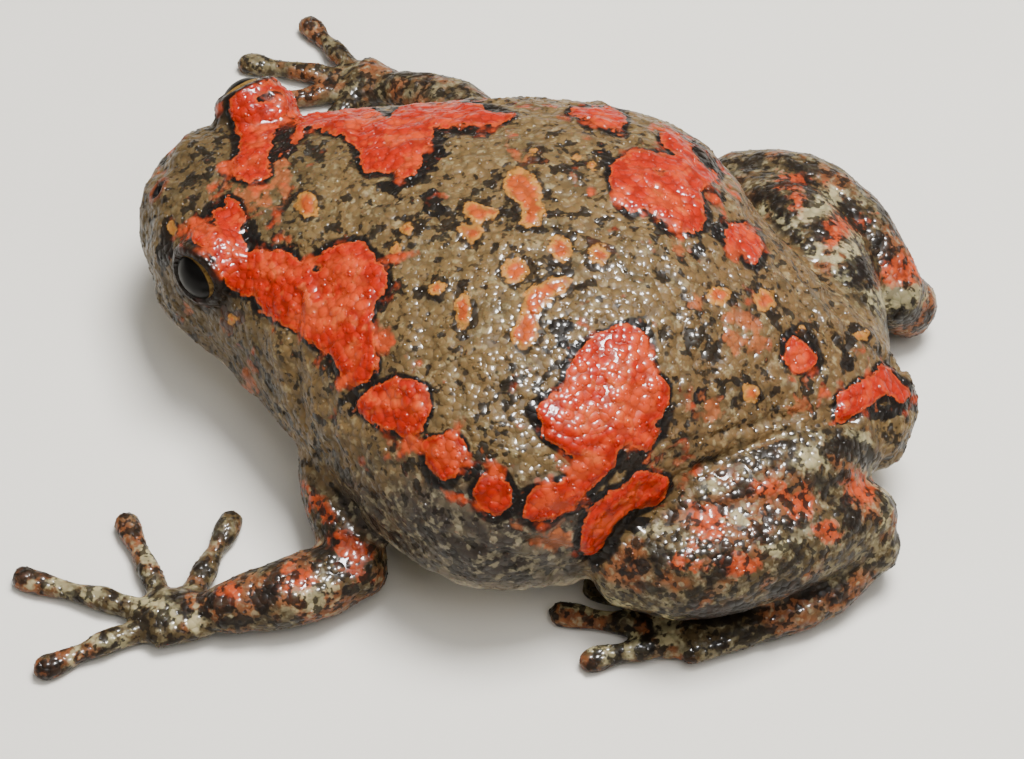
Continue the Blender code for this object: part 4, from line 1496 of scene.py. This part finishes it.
class FROG_OT_eyes(bpy.types.Operator):
    """Builds both eyes"""

    bl_idname = "frog.eyes"
    bl_label = "Eyes"

    def execute(self, context):
        sizes = context.scene.frog_eye
        material = eye_material(sizes)
        for side in EYE_LOOK:
            centre, radius, look = eye_place(side)
            ball = ball_surface(centre, radius, look, EYE_RINGS, EYE_SIDES)
            eye = add_object("eyeball_" + side, closed_mesh("eyeball", [ball]))
            aim = look + np.array(PUPIL_TURN)
            away = (points_of(eye.data) - centre) / radius
            turn = np.arccos(np.clip(away @ (aim / np.linalg.norm(aim)), -1, 1))
            write_marks(eye.data, {"pupil": radius * turn - sizes.pupil})
            finish_piece(eye, material)
            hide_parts("eye_" + side)
        return {"FINISHED"}


class FROG_OT_stage(bpy.types.Operator):
    """Sets the floor, the lights and the camera"""

    bl_idname = "frog.stage"
    bl_label = "Stage"

    def execute(self, context):
        sizes = context.scene.frog_stage
        half = sizes.floor_size / 2 / MM
        corners = half * np.array([(-1, -1, 0), (1, -1, 0), (1, 1, 0), (-1, 1, 0)])
        floor = add_object("floor", mesh_of("floor", corners, [(0, 1, 2, 3)]))
        floor.data.materials.append(floor_material(sizes.floor_colour))

        place, right, up, back = camera_axes()
        target = Vector(CAMERA_TARGET) * MM
        ahead = np.cross((0, 0, 1), right)
        powers = {
            "key": sizes.key_power, "top": sizes.fill_power,
            "side": SIDE_SHARE * sizes.fill_power, "glint": sizes.glint_power,
        }
        for name, (sideways, forwards, rise), distance, size in LIGHTS:
            data = bpy.data.lights.new(name, "AREA")
            data.size = size * MM
            data.energy = powers[name]
            lamp = bpy.data.objects.new(name, data)
            way = sideways * right + forwards * ahead + np.array([0, 0, rise])
            way = Vector(way).normalized()
            turn = way.to_track_quat("Z", "Y").to_matrix().to_4x4()
            lamp.visible_diffuse = name != "glint"
            lamp.visible_glossy = name == "glint"
            lamp.matrix_world = Matrix.Translation(target + way * distance * MM) @ turn
            context.scene.collection.objects.link(lamp)

        world = bpy.data.worlds.new("studio")
        world.use_nodes = True
        sky = world.node_tree.nodes["Background"].inputs
        sky["Color"].default_value = linear(SKY_COLOUR)
        sky["Strength"].default_value = SKY_STRENGTH
        context.scene.world = world

        data = bpy.data.cameras.new("camera")
        data.sensor_width = SENSOR_WIDTH
        data.lens = PIXELS_PER_MM * CAMERA_DISTANCE / PICTURE[0] * SENSOR_WIDTH
        data.clip_start, data.clip_end = CAMERA_CLIP
        camera = bpy.data.objects.new("camera", data)
        axes = np.eye(4)
        axes[:3, 0], axes[:3, 1], axes[:3, 2], axes[:3, 3] = right, up, back, place * MM
        camera.matrix_world = Matrix(axes.tolist())
        context.scene.collection.objects.link(camera)
        context.scene.camera = camera
        return {"FINISHED"}


class FROG_PT_panel(bpy.types.Panel):
    """Sizes, colours and building steps of the frog"""

    bl_label = "Painted frog"
    bl_idname = "FROG_PT_panel"
    bl_space_type = "VIEW_3D"
    bl_region_type = "UI"
    bl_category = "Painted frog"

    def draw(self, context):
        for group in (context.scene.frog_skin, context.scene.frog_eye, context.scene.frog_stage):
            box = self.layout.box()
            for name in group.bl_rna.properties.keys():
                if name not in ("rna_type", "name"):
                    box.prop(group, name)
        for step in STEPS:
            self.layout.operator(step.bl_idname)


STEPS = (FROG_OT_skin, FROG_OT_tubercles, FROG_OT_eyes, FROG_OT_stage)
GROUPS = {
    "frog_skin": FrogSkinSettings,
    "frog_eye": FrogEyeSettings,
    "frog_stage": FrogStageSettings,
}


def register():
    """Adds the settings, the building steps and the panel."""
    for kind in (*GROUPS.values(), *STEPS, FROG_PT_panel):
        bpy.utils.register_class(kind)
    for name, group in GROUPS.items():
        setattr(bpy.types.Scene, name, PointerProperty(type=group))


def unregister():
    """Takes away what register adds."""
    for name in GROUPS:
        delattr(bpy.types.Scene, name)
    for kind in (FROG_PT_panel, *reversed(STEPS), *GROUPS.values()):
        bpy.utils.unregister_class(kind)


def main():
    """Builds the frog and its stage."""
    register()
    bpy.ops.frog.skin()
    bpy.ops.frog.tubercles()
    bpy.ops.frog.eyes()
    bpy.ops.frog.stage()


if __name__ == "__main__":
    main()
